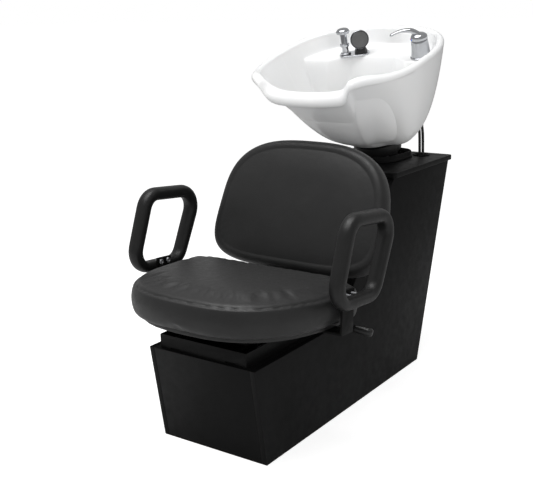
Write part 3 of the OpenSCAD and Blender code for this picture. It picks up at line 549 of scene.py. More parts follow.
SOFTENED = (
    (LAMINATE, 0.0007, ("side_panel_left", "side_panel_right", "front_panel", "deck_panel",
                        "tower_front_panel", "rear_access_panel")),
    (LAMINATE, 0.0022, ("top_plate",)),
    (WOOD, 0.0008, ("bottom_panel", "stretcher_rails", "corner_cleats")),
    (VINYL, 0.0020, ("back_board", "seat_board")),
    (POWDER_COAT, 0.0014, ("slide_base", "seat_frame", "back_bar", "arm_bracket_left", "arm_bracket_right",
                           "tilt_bracket", "bowl_cradle", "slide_lever")),
    (POWDER_COAT, 0.0006, ("lower_rails",)),
    (ZINC, 0.0005, ("latch_rack", "upper_rails", "pipe_clips", "tilt_pins", "lever_pivot_bolt")),
    (RUBBER, 0.0020, ("tilt_boot",)),
    (BLACK_PLASTIC, 0.0012, ("pivot_shroud",)),
    (BRASS, 0.0008, ("stop_valve_hot", "stop_valve_cold", "mixer_nut")),
    (WHITE_PLASTIC, 0.0012, ("bottle_trap",)),
    (CHROME, 0.0006, ("drain_flange", "drain_strainer", "tailpiece")),
)
for material, radius, nodes in SOFTENED:
    for node in nodes:
        soften(node, material, radius, 4 if radius > 0.0015 else 2)
print("softened", sum(len(nodes) for _, _, nodes in SOFTENED), "pieces")

# %% [markdown]
# ### Screws and bolts
# Fasteners are bought, so they are made once as turned shapes: a low domed head with a hexagon socket. The
# construction model already knows where each one stands, so the head is put over each solid's own end.

# %% Fasteners
def islands(node):
    """The separate solids of a node, as arrays of points."""
    shape = bmesh.new()
    shape.from_mesh(frame["nodes"][node].data)
    bmesh.ops.remove_doubles(shape, verts=shape.verts, dist=1e-5)
    left, found = set(shape.verts), []
    while left:
        stack, group = [left.pop()], []
        while stack:
            vert = stack.pop()
            group.append(vert.co[:])
            for edge in vert.link_edges:
                other = edge.other_vert(vert)
                if other in left:
                    left.remove(other)
                    stack.append(other)
        found.append(np.array(group))
    shape.free()
    return found


def bolt_frame(points):
    """The axis of a turned solid, pointing out of its head, with the head's middle, radius and height."""
    middle = points.mean(0)
    spread = np.linalg.svd(points - middle, full_matrices=False)[2]
    best = None
    for axis in spread:
        along = (points - middle) @ axis
        radial = np.linalg.norm((points - middle) - along[:, None] * axis, axis=1)
        score = len(np.unique(np.round(radial, 4)))
        best = min(best, (score, tuple(axis)), key=lambda s: s[0]) if best else (score, tuple(axis))
    axis = np.array(best[1])
    along = points @ axis
    ends = points[along > along.max() - 1e-4], points[along < along.min() + 1e-4]
    reach = [np.linalg.norm(e - e.mean(0), axis=1).max() for e in ends]
    if reach[1] > reach[0]:
        axis, ends, reach, along = -axis, ends[::-1], reach[::-1], points @ -axis
    levels = np.unique(np.round(along, 4))
    return axis, ends[0].mean(0), reach[0], levels[-1] - levels[-2], levels[-1] - levels[0]


def bolt_points(axis, top, radius, head, length, sides=24):
    """Domed head, hexagon socket and shank as one closed profile about the axis, from the socket's floor."""
    shank = radius * 0.5
    profile = [(radius * 0.42, -head * 0.55), (radius * 0.44, 0), (radius * 0.80, -head * 0.06),
               (radius * 0.96, -head * 0.30), (radius, -head * 0.62), (radius * 0.98, -head), (shank, -head),
               (shank, -length + 0.001), (shank * 0.8, -length)]
    ring = turned(profile, sides)
    a = np.arange(sides) / sides * 2 * np.pi
    hexagon = radius * 0.42 / np.cos((a + np.pi / 6) % (np.pi / 3) - np.pi / 6)
    ring[0, :, 0], ring[0, :, 1] = hexagon * np.cos(a), hexagon * np.sin(a)
    ring[1, :, 0], ring[1, :, 1] = 1.02 * ring[0, :, 0], 1.02 * ring[0, :, 1]
    helper = np.array([1, 0, 0]) if abs(axis[0]) < 0.7 else np.array([0, 1, 0])
    side = unit(np.cross(helper, axis))
    return place(ring, top, np.column_stack([side, np.cross(axis, side), axis]))


def bolts(node, material):
    for k, points in enumerate(islands(node)):
        piece = grid_piece(f"{node}_{k}_made", bolt_points(*bolt_frame(points)), body_of(node), material)
        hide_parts(node)


for node in ("access_panel_screws", "slide_base_screws", "back_bolts", "arm_bolts", "tilt_bracket_bolts",
             "bowl_bolts"):
    bolts(node, ZINC)
print("fasteners made")

# %% [markdown]
# ## The bowl
# A backwash bowl is slip-cast china: one skin that comes up from a round foot, rolls over at the rim and
# drops into the basin. It is made here as one closed grid. Around the bowl runs an angle; along each slice
# run the outer wall, the rolled rim, the basin, and the drain's sleeve back down to the foot. The rim dips
# at the neck between two raised lobes, and the wall is thick there. At the rear the basin stops at a flat
# deck for the taps. A sculpted mesh would need its curvature smoothed by hand; a formula is smooth already.

# %% Bowl sizes
BOWL_AT, BOWL_TILT = np.array([0, Y_FRONT + 0.771, 1.005]), turn_x(17)
HALF_WIDTH, REAR, FRONT, DEPTH, NECK = 0.262, 0.268, 0.302, 0.310, 0.136
RIM_R, LIP_R, TAP_DECK = 0.011, 0.023, 0.045
FOOT_Y, FOOT_R, SUMP_Y, SUMP_R, SUMP_Z, DRAIN_R = 0.096, 0.082, 0.050, 0.058, -0.286, 0.023
MIXER_AT, DOCK_AT, DOCK_TURN, BREAKER_X, CUP_X = (0.175, 0.136), (-0.068, 0.150), 20, -0.028, 0.022


def in_bowl(points):
    return place(np.asarray(points, float), BOWL_AT, BOWL_TILT)


def wing(x):
    """How far the tap deck comes forward at each end, so that a tap stands on flat china."""
    return 0.044 * smooth(0.070, 0.150, np.abs(x))


def soft_max(a, b, k):
    """A maximum whose crossing is rounded over about k, so that two surfaces meet in a cove."""
    return 0.5 * (a + b + np.sqrt((a - b) ** 2 + k * k))


# %% [markdown]
# ### The rim
# One curve carries the whole bowl. It is a squarish oval from above; a bell lowers and thickens it at the
# neck, where the nape rests, and two more bells lift the shoulders beside it.

# %% The rim's curve
def rim_parts(t):
    """The rim: x = w cos^p t, y = l sin^p t, dipping by the neck's bell and lifting by the lobes' bells."""
    ahead = np.sin(t) < 0
    p = np.where(ahead, 2 / 2.3, 2 / 2.6)
    x = HALF_WIDTH * power(np.cos(t), p)
    neck = np.where(ahead, np.exp(-((np.abs(x) / NECK) ** 14)), 0)
    lobe = np.where(ahead, np.exp(-(((np.abs(x) - NECK - 0.040) / 0.054) ** 2)), 0)
    front = smooth(0.05, 0.75, -np.sin(t))
    y = np.where(ahead, FRONT, REAR) * power(np.sin(t), p) + 0.027 * neck
    z = 0.020 * lobe * (1 - neck) - 0.026 * neck
    centre = np.stack([x, y, z], -1)
    out = unit(np.stack([x, y - 0.060 * (1 - front), 0 * x], -1))
    radius = RIM_R + 0.005 * lobe + (LIP_R - RIM_R) * neck
    return centre, out, radius, front, neck, lobe


def ring(t, y, r, z):
    return np.stack([r * np.cos(t), y + r * np.sin(t), z + 0 * t], -1)


def mix(a, b, s):
    return a + (b - a) * s


# %% [markdown]
# ### The slices
# Points are spaced evenly along the rim, not by angle, or the tight corners would starve of them. Where the
# basin's wall meets the tap deck, a rounded maximum of the two heights makes the cove that glaze leaves.

# %% The bowl's grid
def bowl_grid(around, outer, roll, inner):
    """Each slice in turn: outer wall from foot to edge, an arc of the rim's roll, inner wall to the sump with
    its height held above the tap deck, and the sleeve of the drain."""
    even = (np.arange(around) + 0.5) / around * 2 * np.pi - np.pi / 2
    centre, out, radius, front, neck, lobe = rim_parts(even)
    length = np.append(0, np.cumsum(np.linalg.norm(np.roll(centre, -1, 0) - centre, axis=1)))
    t = np.interp(np.arange(around) / around * length[-1], length, np.append(even, even[0] + 2 * np.pi))
    centre, out, radius, front, neck, lobe = rim_parts(t)
    start = np.radians(-20 - 45 * np.maximum(neck, 0.6 * lobe))
    up = np.array([0, 0, 1.0])
    arc = lambda a: centre + radius[:, None] * (np.cos(a)[:, None] * out + np.sin(a)[:, None] * up)
    edge, foot = arc(start), ring(t, FOOT_Y, FOOT_R, -DEPTH)
    rows = [ring(t, FOOT_Y, FOOT_R - d, -DEPTH + h) for d, h in ((0.012, 0.001), (0.004, 0), (0.001, 0.0012))]
    for s in 1 - np.arange(outer) / outer:
        p = mix(edge, foot, s)
        q = np.maximum(0, (s - 0.07 * front) / (1 - 0.07 * front))
        drop = 1 - (1 - q) ** mix(2.5, 1.25, front)
        rows.append(np.column_stack([p[:, :2], mix(edge[:, 2], foot[:, 2], drop)]))
    rows += [arc(mix(start, np.pi, k / roll)) for k in range(roll + 1)]
    brim, sump = centre - radius[:, None] * out, ring(t, SUMP_Y, SUMP_R, SUMP_Z)
    for s in np.arange(1, inner + 1) / inner:
        p = mix(brim, sump, s)
        z = mix(brim[:, 2], SUMP_Z, 1 - (1 - s) ** mix(2.75, 1.75, front))
        deck = -TAP_DECK - 0.330 * (1 - smooth(0.088, 0.142, p[:, 1] + wing(p[:, 0])))
        rows.append(np.column_stack([p[:, :2], soft_max(z, deck, 0.010)]))
    for r in (0.046, 0.036, 0.030):
        rows.append(ring(t, SUMP_Y, r, SUMP_Z - 0.002))
    rows += [ring(t, SUMP_Y, DRAIN_R + 0.002, SUMP_Z - 0.004), ring(t, SUMP_Y, DRAIN_R, SUMP_Z - 0.008)]
    rows += [ring(t, SUMP_Y, DRAIN_R, z) for z in (-0.302, -DEPTH + 0.002)]
    rows.append(ring(t, SUMP_Y, DRAIN_R + 0.004, -DEPTH + 0.001))
    return np.stack(rows)


grid = bowl_grid(*(((420, 56, 20, 84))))
bowl = grid_piece("bowl_made", in_bowl(grid), "bowl", CHINA, wrap_rows=True)
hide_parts("bowl_shell")
print("bowl:", len(bowl.data.vertices), "points")

# %% [markdown]
# ## The cushions
# Each cushion is a board, a block of foam and a sewn vinyl cover. A cover is flat pieces joined at seams, so
# its shape is set by where the seams hold it down and how hard the foam pushes between them. The grid below
# has a row on each seam; those rows and the underside are pinned, and a short cloth simulation under
# pressure fills the panels between. Puffing by formula alone gives every panel the same dead roundness.

# %% Cushion maker
def cushion_grid(plan, side_rows, top_rows, around, count):
    """Rows of (growth, height) follow the outline at an offset; rows of (share, height) shrink it to its
    middle."""
    a = np.arange(around) / around * 2 * np.pi
    side = resample(side_rows, count[0])
    side[0], side[-1] = side_rows[0], side_rows[-1]
    rows = [np.column_stack([plan(a, g), np.full(around, z)]) for g, z in side]
    edge, middle = plan(a, side_rows[-1][0]), plan(a, side_rows[-1][0]).mean(0)
    for share, z in resample(top_rows, count[1])[1:]:
        rows.append(np.column_stack([middle + (edge - middle) * share, np.full(around, z)]))
    return np.stack(rows)


def nearest_rows(side_rows, heights, count):
    side = resample(side_rows, count)
    return [int(np.argmin(np.hypot(side[:, 0] - g, side[:, 1] - z))) for g, z in heights]


def inflate(piece, pinned, pressure, cap, stiffness=12.0):
    """Cloth under air pressure for twenty frames, with some rows pinned; no point moves past the cap."""
    rest = np.empty(len(piece.data.vertices) * 3)
    piece.data.vertices.foreach_get("co", rest)
    group = piece.vertex_groups.new(name="pinned")
    group.add([int(i) for i in pinned], 1.0, "REPLACE")
    cloth = piece.modifiers.new("cloth", "CLOTH")
    settings = cloth.settings
    settings.quality, settings.mass = 6, 0.25
    settings.tension_stiffness = settings.compression_stiffness = stiffness
    settings.shear_stiffness, settings.bending_stiffness = 6.0, 0.8
    settings.use_pressure, settings.uniform_pressure_force = True, pressure
    settings.vertex_group_mass = "pinned"
    settings.effector_weights.gravity = 0
    cloth.collision_settings.use_collision = False
    scene = bpy.context.scene
    for number in range(1, 21):
        scene.frame_set(number)
    graph = bpy.context.evaluated_depsgraph_get()
    after = np.empty(len(rest))
    piece.evaluated_get(graph).data.vertices.foreach_get("co", after)
    piece.modifiers.remove(cloth)
    piece.vertex_groups.clear()
    scene.frame_set(1)
    moved = (after - rest).reshape(-1, 3)
    size = np.linalg.norm(moved, axis=1, keepdims=True)
    moved *= np.minimum(1, cap / np.maximum(size, 1e-9))
    piece.data.vertices.foreach_set("co", (rest + moved.ravel()))
    piece.data.update()
    print(piece.name, "swelled by up to", round(float(np.linalg.norm(moved, axis=1).max()) * 1000, 1), "mm")


def make_cushion(name, node, grid, frame_turn, origin, seams, pressure, cap):
    rows, cols = grid.shape[:2]
    piece = grid_piece(name, grid, None, VINYL)
    pinned = np.concatenate([row * cols + np.arange(cols) for row in [0, 1, 2, 3, *seams]])
    inflate(piece, np.append(pinned, rows * cols), pressure, cap)
    points = np.empty(len(piece.data.vertices) * 3)
    piece.data.vertices.foreach_get("co", points)
    piece.data.vertices.foreach_set("co", place(points.reshape(-1, 3), origin, frame_turn).ravel())
    piece.data.update()
    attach(piece, "seat")
    smooth_it = piece.modifiers.new("smooth", "SUBSURF")
    smooth_it.levels = smooth_it.render_levels = 1
    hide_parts(node)
    return piece


# %% [markdown]
# ### Seat
# The seat is a boxed cushion: a crowned top panel, and a side strip sewn to it a little below the shoulder.
# Seen from above it is a squarish oval, long to the front and short to the rear, where it stays clear of the
# back. The strip swells and curls under to the board.

# %% Seat cushion
SEAT_W, SEAT_D, SEAT_HEEL, SEAT_C = 0.580, 0.460, 0.080, -0.047
SEAT_AT, SEAT_TURN = np.array([0, Y_FRONT + 0.347, 0.432]), turn_x(-3.9)


def seat_plan(a, grow):
    """x = w cos^p a, y = l sin^p a: p is 2/2.7 to the front and 2/2.2 to the rear, where l is shorter."""
    p = np.where(np.sin(a) < 0, 2 / 2.7, 2 / 2.2)
    depth = np.where(np.sin(a) < 0, SEAT_D - SEAT_HEEL, SEAT_HEEL) + grow
    return np.column_stack([(SEAT_W / 2 + grow) * power(np.cos(a), p), SEAT_C + depth * power(np.sin(a), p)])


def even_plan(plan, a, grow):
    """The same outline with its points at even steps of length, so that the cover's threads are even."""
    fine = np.linspace(0, 2 * np.pi, 1441)
    line = plan(fine, 0.0)
    length = np.append(0, np.cumsum(np.linalg.norm(np.diff(line, axis=0), axis=1)))
    return plan(np.interp(a / (2 * np.pi) * length[-1], length, fine), grow)


SEAT_SIDE = mm([(-60, -84), (-30, -84.8), (-14, -84.5), (-4, -81), (2, -72), (5.5, -58), (7, -42),
                (5.8, -27), (3.5, -16), (1, -9.5), (-1.2, -7.8), (-0.8, -6), (-1.5, -2), (-5, 4),
                (-12, 7.8), (-22, 10)])
SEAT_TOP = [(1.0, 0.0100), (0.93, 0.0122), (0.82, 0.0140), (0.6, 0.0155), (0.35, 0.016), (0.10, 0.016)]
around, side_n, top_n = ((192, 60, 26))
grid = cushion_grid(lambda a, g: even_plan(seat_plan, a, g), SEAT_SIDE, SEAT_TOP, around, (side_n, top_n))
seam = nearest_rows(SEAT_SIDE, [(-0.0012, -0.0078)], side_n)
seat = make_cushion("seat_cushion_made", "seat_cushion", grid, SEAT_TURN, SEAT_AT, seam, 4.0, 0.007)
print("seat:", len(seat.data.vertices), "points, seam on row", seam)

# %% [markdown]
# ### Backrest
# The back is wider at its foot than at its head. A soft roll runs all round its front edge, marked off from
# the front panel by a shallow sewn groove, and a second seam joins the side strip to the vinyl behind.

# %% Back cushion
BACK_W, BACK_TOP_W, BACK_H = 0.604, 0.518, 0.380
BACK_AT, BACK_TURN = np.array([0, Y_FRONT + 0.412, 0.420]), turn_x(90 - 20.5)


def back_plan(a, grow):
    """A rounded trapezoid: x = w(v) cos^(2/n) a, y from v = sin^(2/n) a, squarer at the foot (n = 4.4) than
    at the head (n = 2.9)."""
    n = np.where(np.sin(a) < 0, 4.4, 2.9)
    v = power(np.sin(a), 2 / n)
    w = mix(BACK_W, BACK_TOP_W, (1 + v) / 2) / 2 + grow
    return np.column_stack([w * power(np.cos(a), 2 / n), BACK_H / 2 + (BACK_H / 2 + grow) * v])


BACK_SIDE = mm([(-60, -51.5), (-26, -51.8), (-14, -51), (-6, -46.5), (-3, -43), (-2, -41), (0.4, -38.5),
                (2.8, -30), (3.6, -20), (2.8, -10), (0.2, -1), (-4.5, 5.5), (-11, 9.2), (-18, 10.4),
                (-23.5, 10.1), (-26.5, 9.8), (-29.5, 10.4), (-35, 12)])
BACK_TOP = [(1.0, 0.0120), (0.90, 0.0148), (0.75, 0.0170), (0.5, 0.0192), (0.3, 0.0198), (0.10, 0.0200)]
grid = cushion_grid(lambda a, g: even_plan(back_plan, a, g), BACK_SIDE, BACK_TOP, around, (side_n, top_n))
seams = nearest_rows(BACK_SIDE, [(-0.0030, -0.0430), (-0.0265, 0.0098)], side_n)
back = make_cushion("back_cushion_made", "back_cushion", grid, BACK_TURN, BACK_AT, seams, 3.0, 0.005)
print("back:", len(back.data.vertices), "points, seams on rows", seams)

# %% [markdown]
# ## The arms
# Each arm is a closed loop of self-skinned urethane over a steel core. It is one squarish oval carried round
# a rounded four-sided path. The mould parts along the middle of both flanks, which leaves a faint ridge.

# %% Loop arms
ARM_X, ARM_W, ARM_T, ARM_FULL = 0.335, 0.042, 0.032, 0.037
ARM_INNER = np.array([[0.137, 0.453], [0.306, 0.440], [0.390, 0.609], [0.204, 0.628]])


def offset_outline(corners, out):
    """Corners of a polygon moved outwards along both neighbouring edges' normals."""
    a, b = unit(corners - np.roll(corners, 1, 0)), unit(np.roll(corners, -1, 0) - corners)
    na, nb = np.column_stack([-a[:, 1], a[:, 0]]), np.column_stack([-b[:, 1], b[:, 0]])
    return corners - out * (na + nb) / (1 + (na * nb).sum(1, keepdims=True))


def rounded_outline(corners, radius, steps=14):
    """Each corner replaced by an arc tangent to both of its edges."""
    a, b = unit(corners - np.roll(corners, 1, 0)), unit(np.roll(corners, -1, 0) - corners)
    centre = offset_outline(corners, -radius)
    turn = np.arccos(np.clip((a * b).sum(1), -1, 1))
    angle = (np.arctan2(a[:, 1], a[:, 0]) - np.pi / 2)[:, None] + turn[:, None] * np.linspace(0, 1, steps)
    return (centre[:, None] + radius * np.stack([np.cos(angle), np.sin(angle)], -1)).reshape(-1, 2)


def even_loop(line, count):
    closed = np.vstack([line, line[:1]])
    length = np.append(0, np.cumsum(np.linalg.norm(np.diff(closed, axis=0), axis=1)))
    at = np.arange(count) / count * length[-1]
    return np.column_stack([np.interp(at, length, closed[:, k]) for k in range(line.shape[1])])


def arm_points(side, count=160, sides=48):
    line = even_loop(rounded_outline(offset_outline(ARM_INNER, ARM_T / 2), 0.034 + ARM_T / 2, 20), count)
    line = (np.roll(line, 1, 0) + line + np.roll(line, -1, 0)) / 3
    path = np.column_stack([np.full(count, side * ARM_X), Y_FRONT + line[:, 0], line[:, 1]])
    height = (line[:, 1] - line[:, 1].min()) / np.ptp(line[:, 1])
    thick = ARM_FULL / 2 * (0.90 + 0.12 * smooth(0, 0.6, height))
    points = carried(path, ARM_W / 2, thick, sides, 2.5, (1, 0, 0), closed=True)
    a = np.arange(sides) / sides * 2 * np.pi
    ridge = 0.0005 * np.exp(-((np.cos(a)) / 0.10) ** 2)
    return points + ridge[None, :, None] * unit(points - path[:, None])


for side, node in ((1, "arm_right"), (-1, "arm_left")):
    arm = grid_piece(node + "_made", arm_points(side), "seat", URETHANE, wrap_rows=True)
    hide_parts(node)
print("arms made")

# %% [markdown]
# ## The mixer tap
# The tap stands square to the tilted tap deck. Its body is a turned brass casting under chrome, its cap is a
# low dome that swivels for warm and cold, and the lever rises from the cap and lies back over it. Lever and
# cap are made apart because they move apart. The hot and cold marks are two small enamel dots.

# %% Mixer tap
def at_mixer(points):
    return in_bowl(np.asarray(points, float) + [*MIXER_AT, -TAP_DECK])


HINGE_Z, HANDLE_TURN = 0.070, turn_z(28)
BODY = mm([(0, 0.4), (33, 0.4), (34, 1.4), (34, 4), (33, 5.2), (30.6, 5.6), (30.1, 7.5), (29, 18),
           (27.6, 35), (26.4, 49), (25.8, 54.5), (24.8, 56.2), (0, 56.2)])


def lathe_piece(name, profile, where, body, material, slot, *nodes, sides=96):
    """A turned piece. Its profile starts and ends near the axis, with close pairs of points at corners."""
    p = np.asarray(profile, float)
    p[:, 0] = np.maximum(p[:, 0], 0.0002)
    piece = grid_piece(name, where(turned(p, sides)), body, material)
    round_it = piece.modifiers.new("rounded", "BEVEL")
    round_it.width, round_it.segments = 0.0004, 2
    round_it.limit_method, round_it.angle_limit = "ANGLE", np.radians(35)
    if nodes:
        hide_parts(*nodes)
    return piece


lathe_piece("mixer_body_made", BODY, at_mixer, "bowl", CHROME, "chrome", "mixer_body")
stem = mm([(0, -79.4), (15.8, -79.4), (16.5, -78.5), (16.5, 0.4), (0, 0.4)])
lathe_piece("mixer_stem_made", stem, at_mixer, "bowl", CHROME, "chrome")
CAP = mm([(0, 56.8), (25.2, 56.8), (26, 57.6), (26.2, 64), (25.6, 66.8), (23.6, 70.6), (20, 73.8),
          (15, 75.8), (8, 76.6), (0, 76.8)])
lathe_piece("mixer_cap_made", CAP, at_mixer, "tap_swivel", CHROME, "chrome", "mixer_cap")

lever_line = resample(mm([(4, 0, -3), (-8, 0, 8), (-22, 0, 17.6), (-38, 0, 20.8), (-54, 0, 20.4),
                          (-71, 0, 16.6), (-88, 0, 10.5)]), 60)
run = np.linspace(0, 1, 60)
tip = np.sqrt(np.clip(1 - smooth(0.93, 1.0, run) ** 2, 0.003, 1))
wide = mix(0.0110, 0.0080, smooth(0.1, 0.9, run)) * tip
tall = mix(0.0088, 0.0044, smooth(0.1, 0.8, run)) * tip
lever = carried(lever_line, wide, tall, 32, 2.4, (0, 1, 0)) + [0, 0, HINGE_Z]
lever = grid_piece("mixer_handle_made", at_mixer(lever @ HANDLE_TURN.T), "tap_lever", CHROME)
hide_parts("mixer_handle")


def mark(name, angle, z, material):
    """A shallow enamel dot on the body's cone, facing outwards at an angle about its axis."""
    a = np.radians(angle)
    out = np.array([np.cos(a), np.sin(a), 0])
    frame_of_dot = np.column_stack([np.array([-np.sin(a), np.cos(a), 0]), np.array([0, 0, 1.0]), out])
    dot = turned([(0.0032, -0.001), (0.0032, 0.0006), (0.0022, 0.0011), (0.0002, 0.0012)], 24)
    grid_piece(name, at_mixer(place(dot, out * 0.0262 + [0, 0, z], frame_of_dot)), "tap_swivel", material)


mark("hot_mark", 212, 0.0612, HOT_RED)
mark("cold_mark", 232, 0.0612, COLD_BLUE)
print("mixer made")

# %% [markdown]
# ## The spray dock
# A plate on the tap deck carries two things side by side: the column of the vacuum breaker, which keeps
# wash water out of the main, with a knurled cap, and the cup that the hand spray stands in. The spray's
# round face looks at the sitter's end of the bowl.

# %% Dock plate, breaker and cup
def at_dock(points):
    origin = np.array([*DOCK_AT, -TAP_DECK + 0.0004])
    return in_bowl(place(np.asarray(points, float), origin, turn_z(DOCK_TURN)))


def at_column(points):
    return at_dock(np.asarray(points, float) + [BREAKER_X, 0, 0])


def at_cup(points):
    return at_dock(np.asarray(points, float) + [CUP_X, 0, 0.0052])


corners = np.array([[-0.048, -0.027], [0.048, -0.027], [0.048, 0.027], [-0.048, 0.027]])
outline = even_loop(rounded_outline(corners, 0.022, 16), 160)
plate_rows = mm([(0, 0), (0, 3.4), (0.4, 4.3), (1.2, 4.9), (2.4, 5.1), (12, 5.2)])
plate = np.stack([
    np.column_stack([outline * (1 - inset / 0.034), np.full(160, z)]) for inset, z in plate_rows])
plate = grid_piece("dock_plate_made", at_dock(plate), "bowl", CHROME)
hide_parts("dock_plate")
COLUMN = mm([(0, 5.2), (16.5, 5.2), (17, 5.8), (17, 9.4), (16, 10.2), (12.2, 11), (11.1, 13), (11, 28.5),
             (11.8, 29.8), (14.6, 30.2), (15, 30.8), (15, 38.2), (14.6, 38.8), (11.8, 39.2), (11, 40.4),
             (11, 73.9), (0, 73.9)])
lathe_piece("breaker_column_made", COLUMN, at_column, "bowl", CHROME, "chrome", "breaker_column")

cap = resample(mm([(0.2, 74.2), (18.8, 74.2), (19.9, 75), (20.8, 76.5), (21, 81), (20.6, 82.6), (19, 85),
                   (16, 87.4), (10, 89.2), (0.2, 89.9)]), 60)
cap = turned(cap, 192)
a = np.arange(192) / 192 * 2 * np.pi
ribbed = smooth(0.0745, 0.0760, cap[..., 2]) - smooth(0.0815, 0.0840, cap[..., 2])
grip = 0.0006 * np.cos(24 * a)[None, :] * ribbed
cap[..., :2] *= (1 + grip / 0.021)[..., None]
cap = grid_piece("breaker_cap_made", at_column(cap), "bowl", CHROME)
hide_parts("breaker_cap")
CUP = mm([(0, 0), (20, 0), (21, 0.8), (20.5, 6), (18.6, 11.8), (18, 13), (16.8, 13.3), (15.2, 13),
          (14.6, 12), (14.5, 3.2), (0, 3)])
lathe_piece("handset_cup_made", CUP, at_cup, "bowl", BLACK_PLASTIC, "black_plastic", "handset_cup")
print("dock made")

# %% [markdown]
# ## The hand spray
# A moulded handle stands in its cup and carries a round head with a soft rim and a ring of small nozzles.

# %% Hand spray
HEAD_TURN = turn_z(15) @ turn_x(84)


def at_head(points):
    return at_cup(place(np.asarray(points, float), np.array([0, 0, 0.044]), HEAD_TURN))


HEAD = mm([(0, -16), (11, -15.8), (15.5, -14.8), (19.5, -11.8), (23.8, -6.2), (27.8, -1), (29.6, 3),
           (30, 6), (30, 10.8), (29.6, 12.2), (28.4, 13), (26.2, 13), (26.2, 12.2), (0, 12.2)])
lathe_piece("spray_head_made", HEAD, at_head, "handset", CHROME, "chrome", "spray_handset")
neck_line = resample(mm([(0, 0, 3.4), (0, 0, 10), (0, 0, 20), (0.6, -1.4, 30), (1.2, -2.8, 38)]), 30)
neck_r = np.interp(np.linspace(0, 1, 30), [0, 0.04, 0.5, 1], [0.0118, 0.0128, 0.0124, 0.0135])
neck = at_cup(carried(neck_line, neck_r, neck_r, 48, 2.0, (1, 0, 0)))
neck = grid_piece("spray_neck_made", neck, "handset", CHROME)
tail_line = np.column_stack([np.zeros(40), np.zeros(40), np.linspace(-0.172, 0.0038, 40)])
tail = at_cup(carried(tail_line, 0.006, 0.006, 20, 2.0, (1, 0, 0)))
tail = grid_piece("spray_tail_made", tail, "handset", BRAID, uv_size=(0.176, 0.038))


def spray_plate():
    """The plate's face: shallow rings, and rubber nozzles as rows of small bumps, all as one height map."""
    r = np.concatenate([np.linspace(0.0003, 0.0252, 84), [0.0256, 0.0259, 0.0260, 0.0260]])
    a = np.arange(180) / 180 * 2 * np.pi
    height = np.full((88, 180), 0.0030)
    for groove in (0.0245, 0.0190, 0.0135, 0.0080):
        height -= 0.0005 * np.exp(-(((r - groove) / 0.0004) ** 2))[:, None]
    for ring_r, number in ((0.0215, 30), (0.0163, 22), (0.0108, 15), (0.0050, 8)):
        across = ((r - ring_r) / 0.0010)[:, None]
        along = np.sin(number * a / 2)[None, :] * ring_r * 2 / number / 0.0010
        height += 0.0011 * np.exp(-((across**2 + along**2) ** 2))
    height[84:] = np.array([0.0028, 0.0024, 0.0018, 0.0])[:, None]
    grid = np.stack([r[:, None] * np.cos(a), r[:, None] * np.sin(a), height], -1)
    return grid + [0, 0, 0.0125]


face = grid_piece("spray_face_made", at_head(spray_plate()), "handset", DARK_PLASTIC)
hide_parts("spray_face")
rim = np.column_stack([0.0276 * np.cos(a), 0.0276 * np.sin(a), np.full(192, 0.0128)])
rim = carried(rim, 0.0013, 0.0014, 14, 2.0, (0, 0, 1), closed=True)
rim = grid_piece("spray_rim_made", at_head(rim), "handset", BLACK_PLASTIC, wrap_rows=True)
print("hand spray made")

# %% [markdown]
# ## Hoses
# Two braided supply hoses run side by side from the stop valves, up inside the tower, out through the
# grommet and into the bowl's casting under the tap. The drain hose is ribbed.

# %% Hoses
def from_cab(points):
    """Millimetres from the cabinet's front edge, to metres in the frame."""
    return (np.asarray(points, float) + [0, 1000 * Y_FRONT, 0]) * MM


def bowl_mm(y, z):
    point = in_bowl(np.array([[0, y * MM, z * MM]]))[0] * 1000
    return [point[1] - 1000 * Y_FRONT, point[2]]


def supply_route(side):
    """One hose's points: its valve, then rows of (middle x, half the hoses' distance apart, y, z)."""
    a = bowl_mm(136, -125)
    valve = 40 if side < 0 else 100
    middle = [(80, 12, 950, 265), (92, 8, 975, 330), (97, 7, 1020, 420), (98, 6, 1062, 510),
              (98, 6, 1084, 590), (98, 6, 1090, 650), (98, 6, 1089, 700), (99, 6, 1084, 740),
              (102, 6, 1071, 768), (112, 7, 1050, 786), (131, 7, 1022, 800), (154, 7, 988, 818),
              (170, 7, 962, 850), (175, 7, *a)]
    shared = [(x + apart * side, y, z) for x, apart, y, z in middle]
    return from_cab([(valve, 940, 196.3), (valve, 940, 225), *shared])


for side, node in ((-1, "supply_hose_hot"), (1, "supply_hose_cold")):
    line = resample(supply_route(side), 260)
    length = np.linalg.norm(np.diff(line, axis=0), axis=1).sum()
    hose = carried(line, 0.0045, 0.0045, 20, 2.0, (1, 0.2, 0.1))
    hose = grid_piece(node + "_made", hose, None, BRAID, uv_size=(length, 0.0283))
    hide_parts(node)
    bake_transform(hose)
    print(node, round(length, 3), "m long")

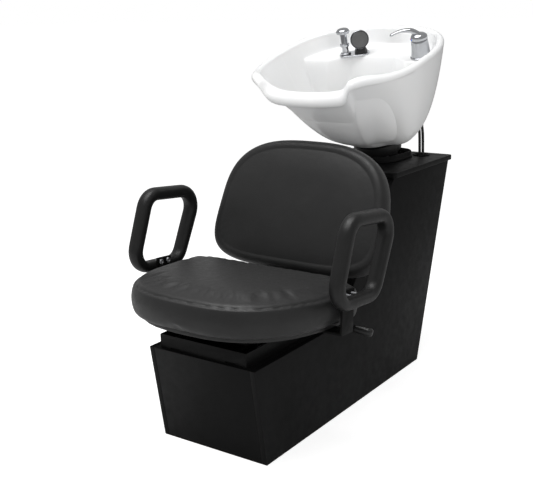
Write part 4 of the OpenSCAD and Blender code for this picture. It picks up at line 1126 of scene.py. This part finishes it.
drain_line = resample(from_cab([
    (0, *bowl_mm(50, -370.3)), (0, *bowl_mm(50, -384)), (0, 928, 620), (0, 916, 590), (0, 896, 562),
    (0, 876, 535), (0, 862, 505), (0, 862, 480)]), 330)
along = np.arange(330) / 329 * np.linalg.norm(np.diff(drain_line, axis=0), axis=1).sum()
ribs = 0.0172 + 0.0011 * np.cos(2 * np.pi * along / 0.0062) ** 3
drain = carried(drain_line, ribs, ribs, 36, 2.0, (1, 0, 0))
drain = grid_piece("drain_hose_made", drain, None, WHITE_PLASTIC)
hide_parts("drain_hose")
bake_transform(drain)
print("drain hose", round(float(along[-1]), 3), "m long")

# %% [markdown]
# ## Small rubber and plastic parts
# The grommet lines the hole in the top plate with a soft lip, and the lever ends in a tapered moulded grip.

# %% Grommet and grip
GROMMET = mm([(26, 650.2), (26, 665.5), (26.4, 666.4), (28.6, 666.8), (29, 667.6), (28.8, 668.6),
              (27, 669.8), (24.5, 669.8), (23.4, 668.8), (23, 667.2), (23, 650.8), (23.4, 650.2)])
at = np.array([0.098, Y_FRONT + 1.090, 0])
grommet = grid_piece("hose_grommet_made", turned(GROMMET, 72) + at, "cabinet", RUBBER, wrap_rows=True)
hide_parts("hose_grommet")

GRIP = mm([(0.2, 0.3), (8.2, 0.3), (9, 1), (9.8, 3), (11, 7), (11.8, 18), (12.4, 32), (12.5, 42), (12, 48),
           (10.4, 52.5), (7.6, 55), (4, 55.9), (0.2, 56)])
c, s = np.cos(np.radians(98)), np.sin(np.radians(98))
grip_turn = turn_z(10) @ np.array([[c, 0, s], [0, 1, 0], [-s, 0, c]])
grip_at = np.array([0.262, Y_FRONT + 0.344, 0.306])
grip = place(turned(GRIP, 48, 60), grip_at, grip_turn)
grip = grid_piece("lever_knob_made", grip, "release_lever", BLACK_PLASTIC)
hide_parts("lever_knob")
print("grommet and grip made")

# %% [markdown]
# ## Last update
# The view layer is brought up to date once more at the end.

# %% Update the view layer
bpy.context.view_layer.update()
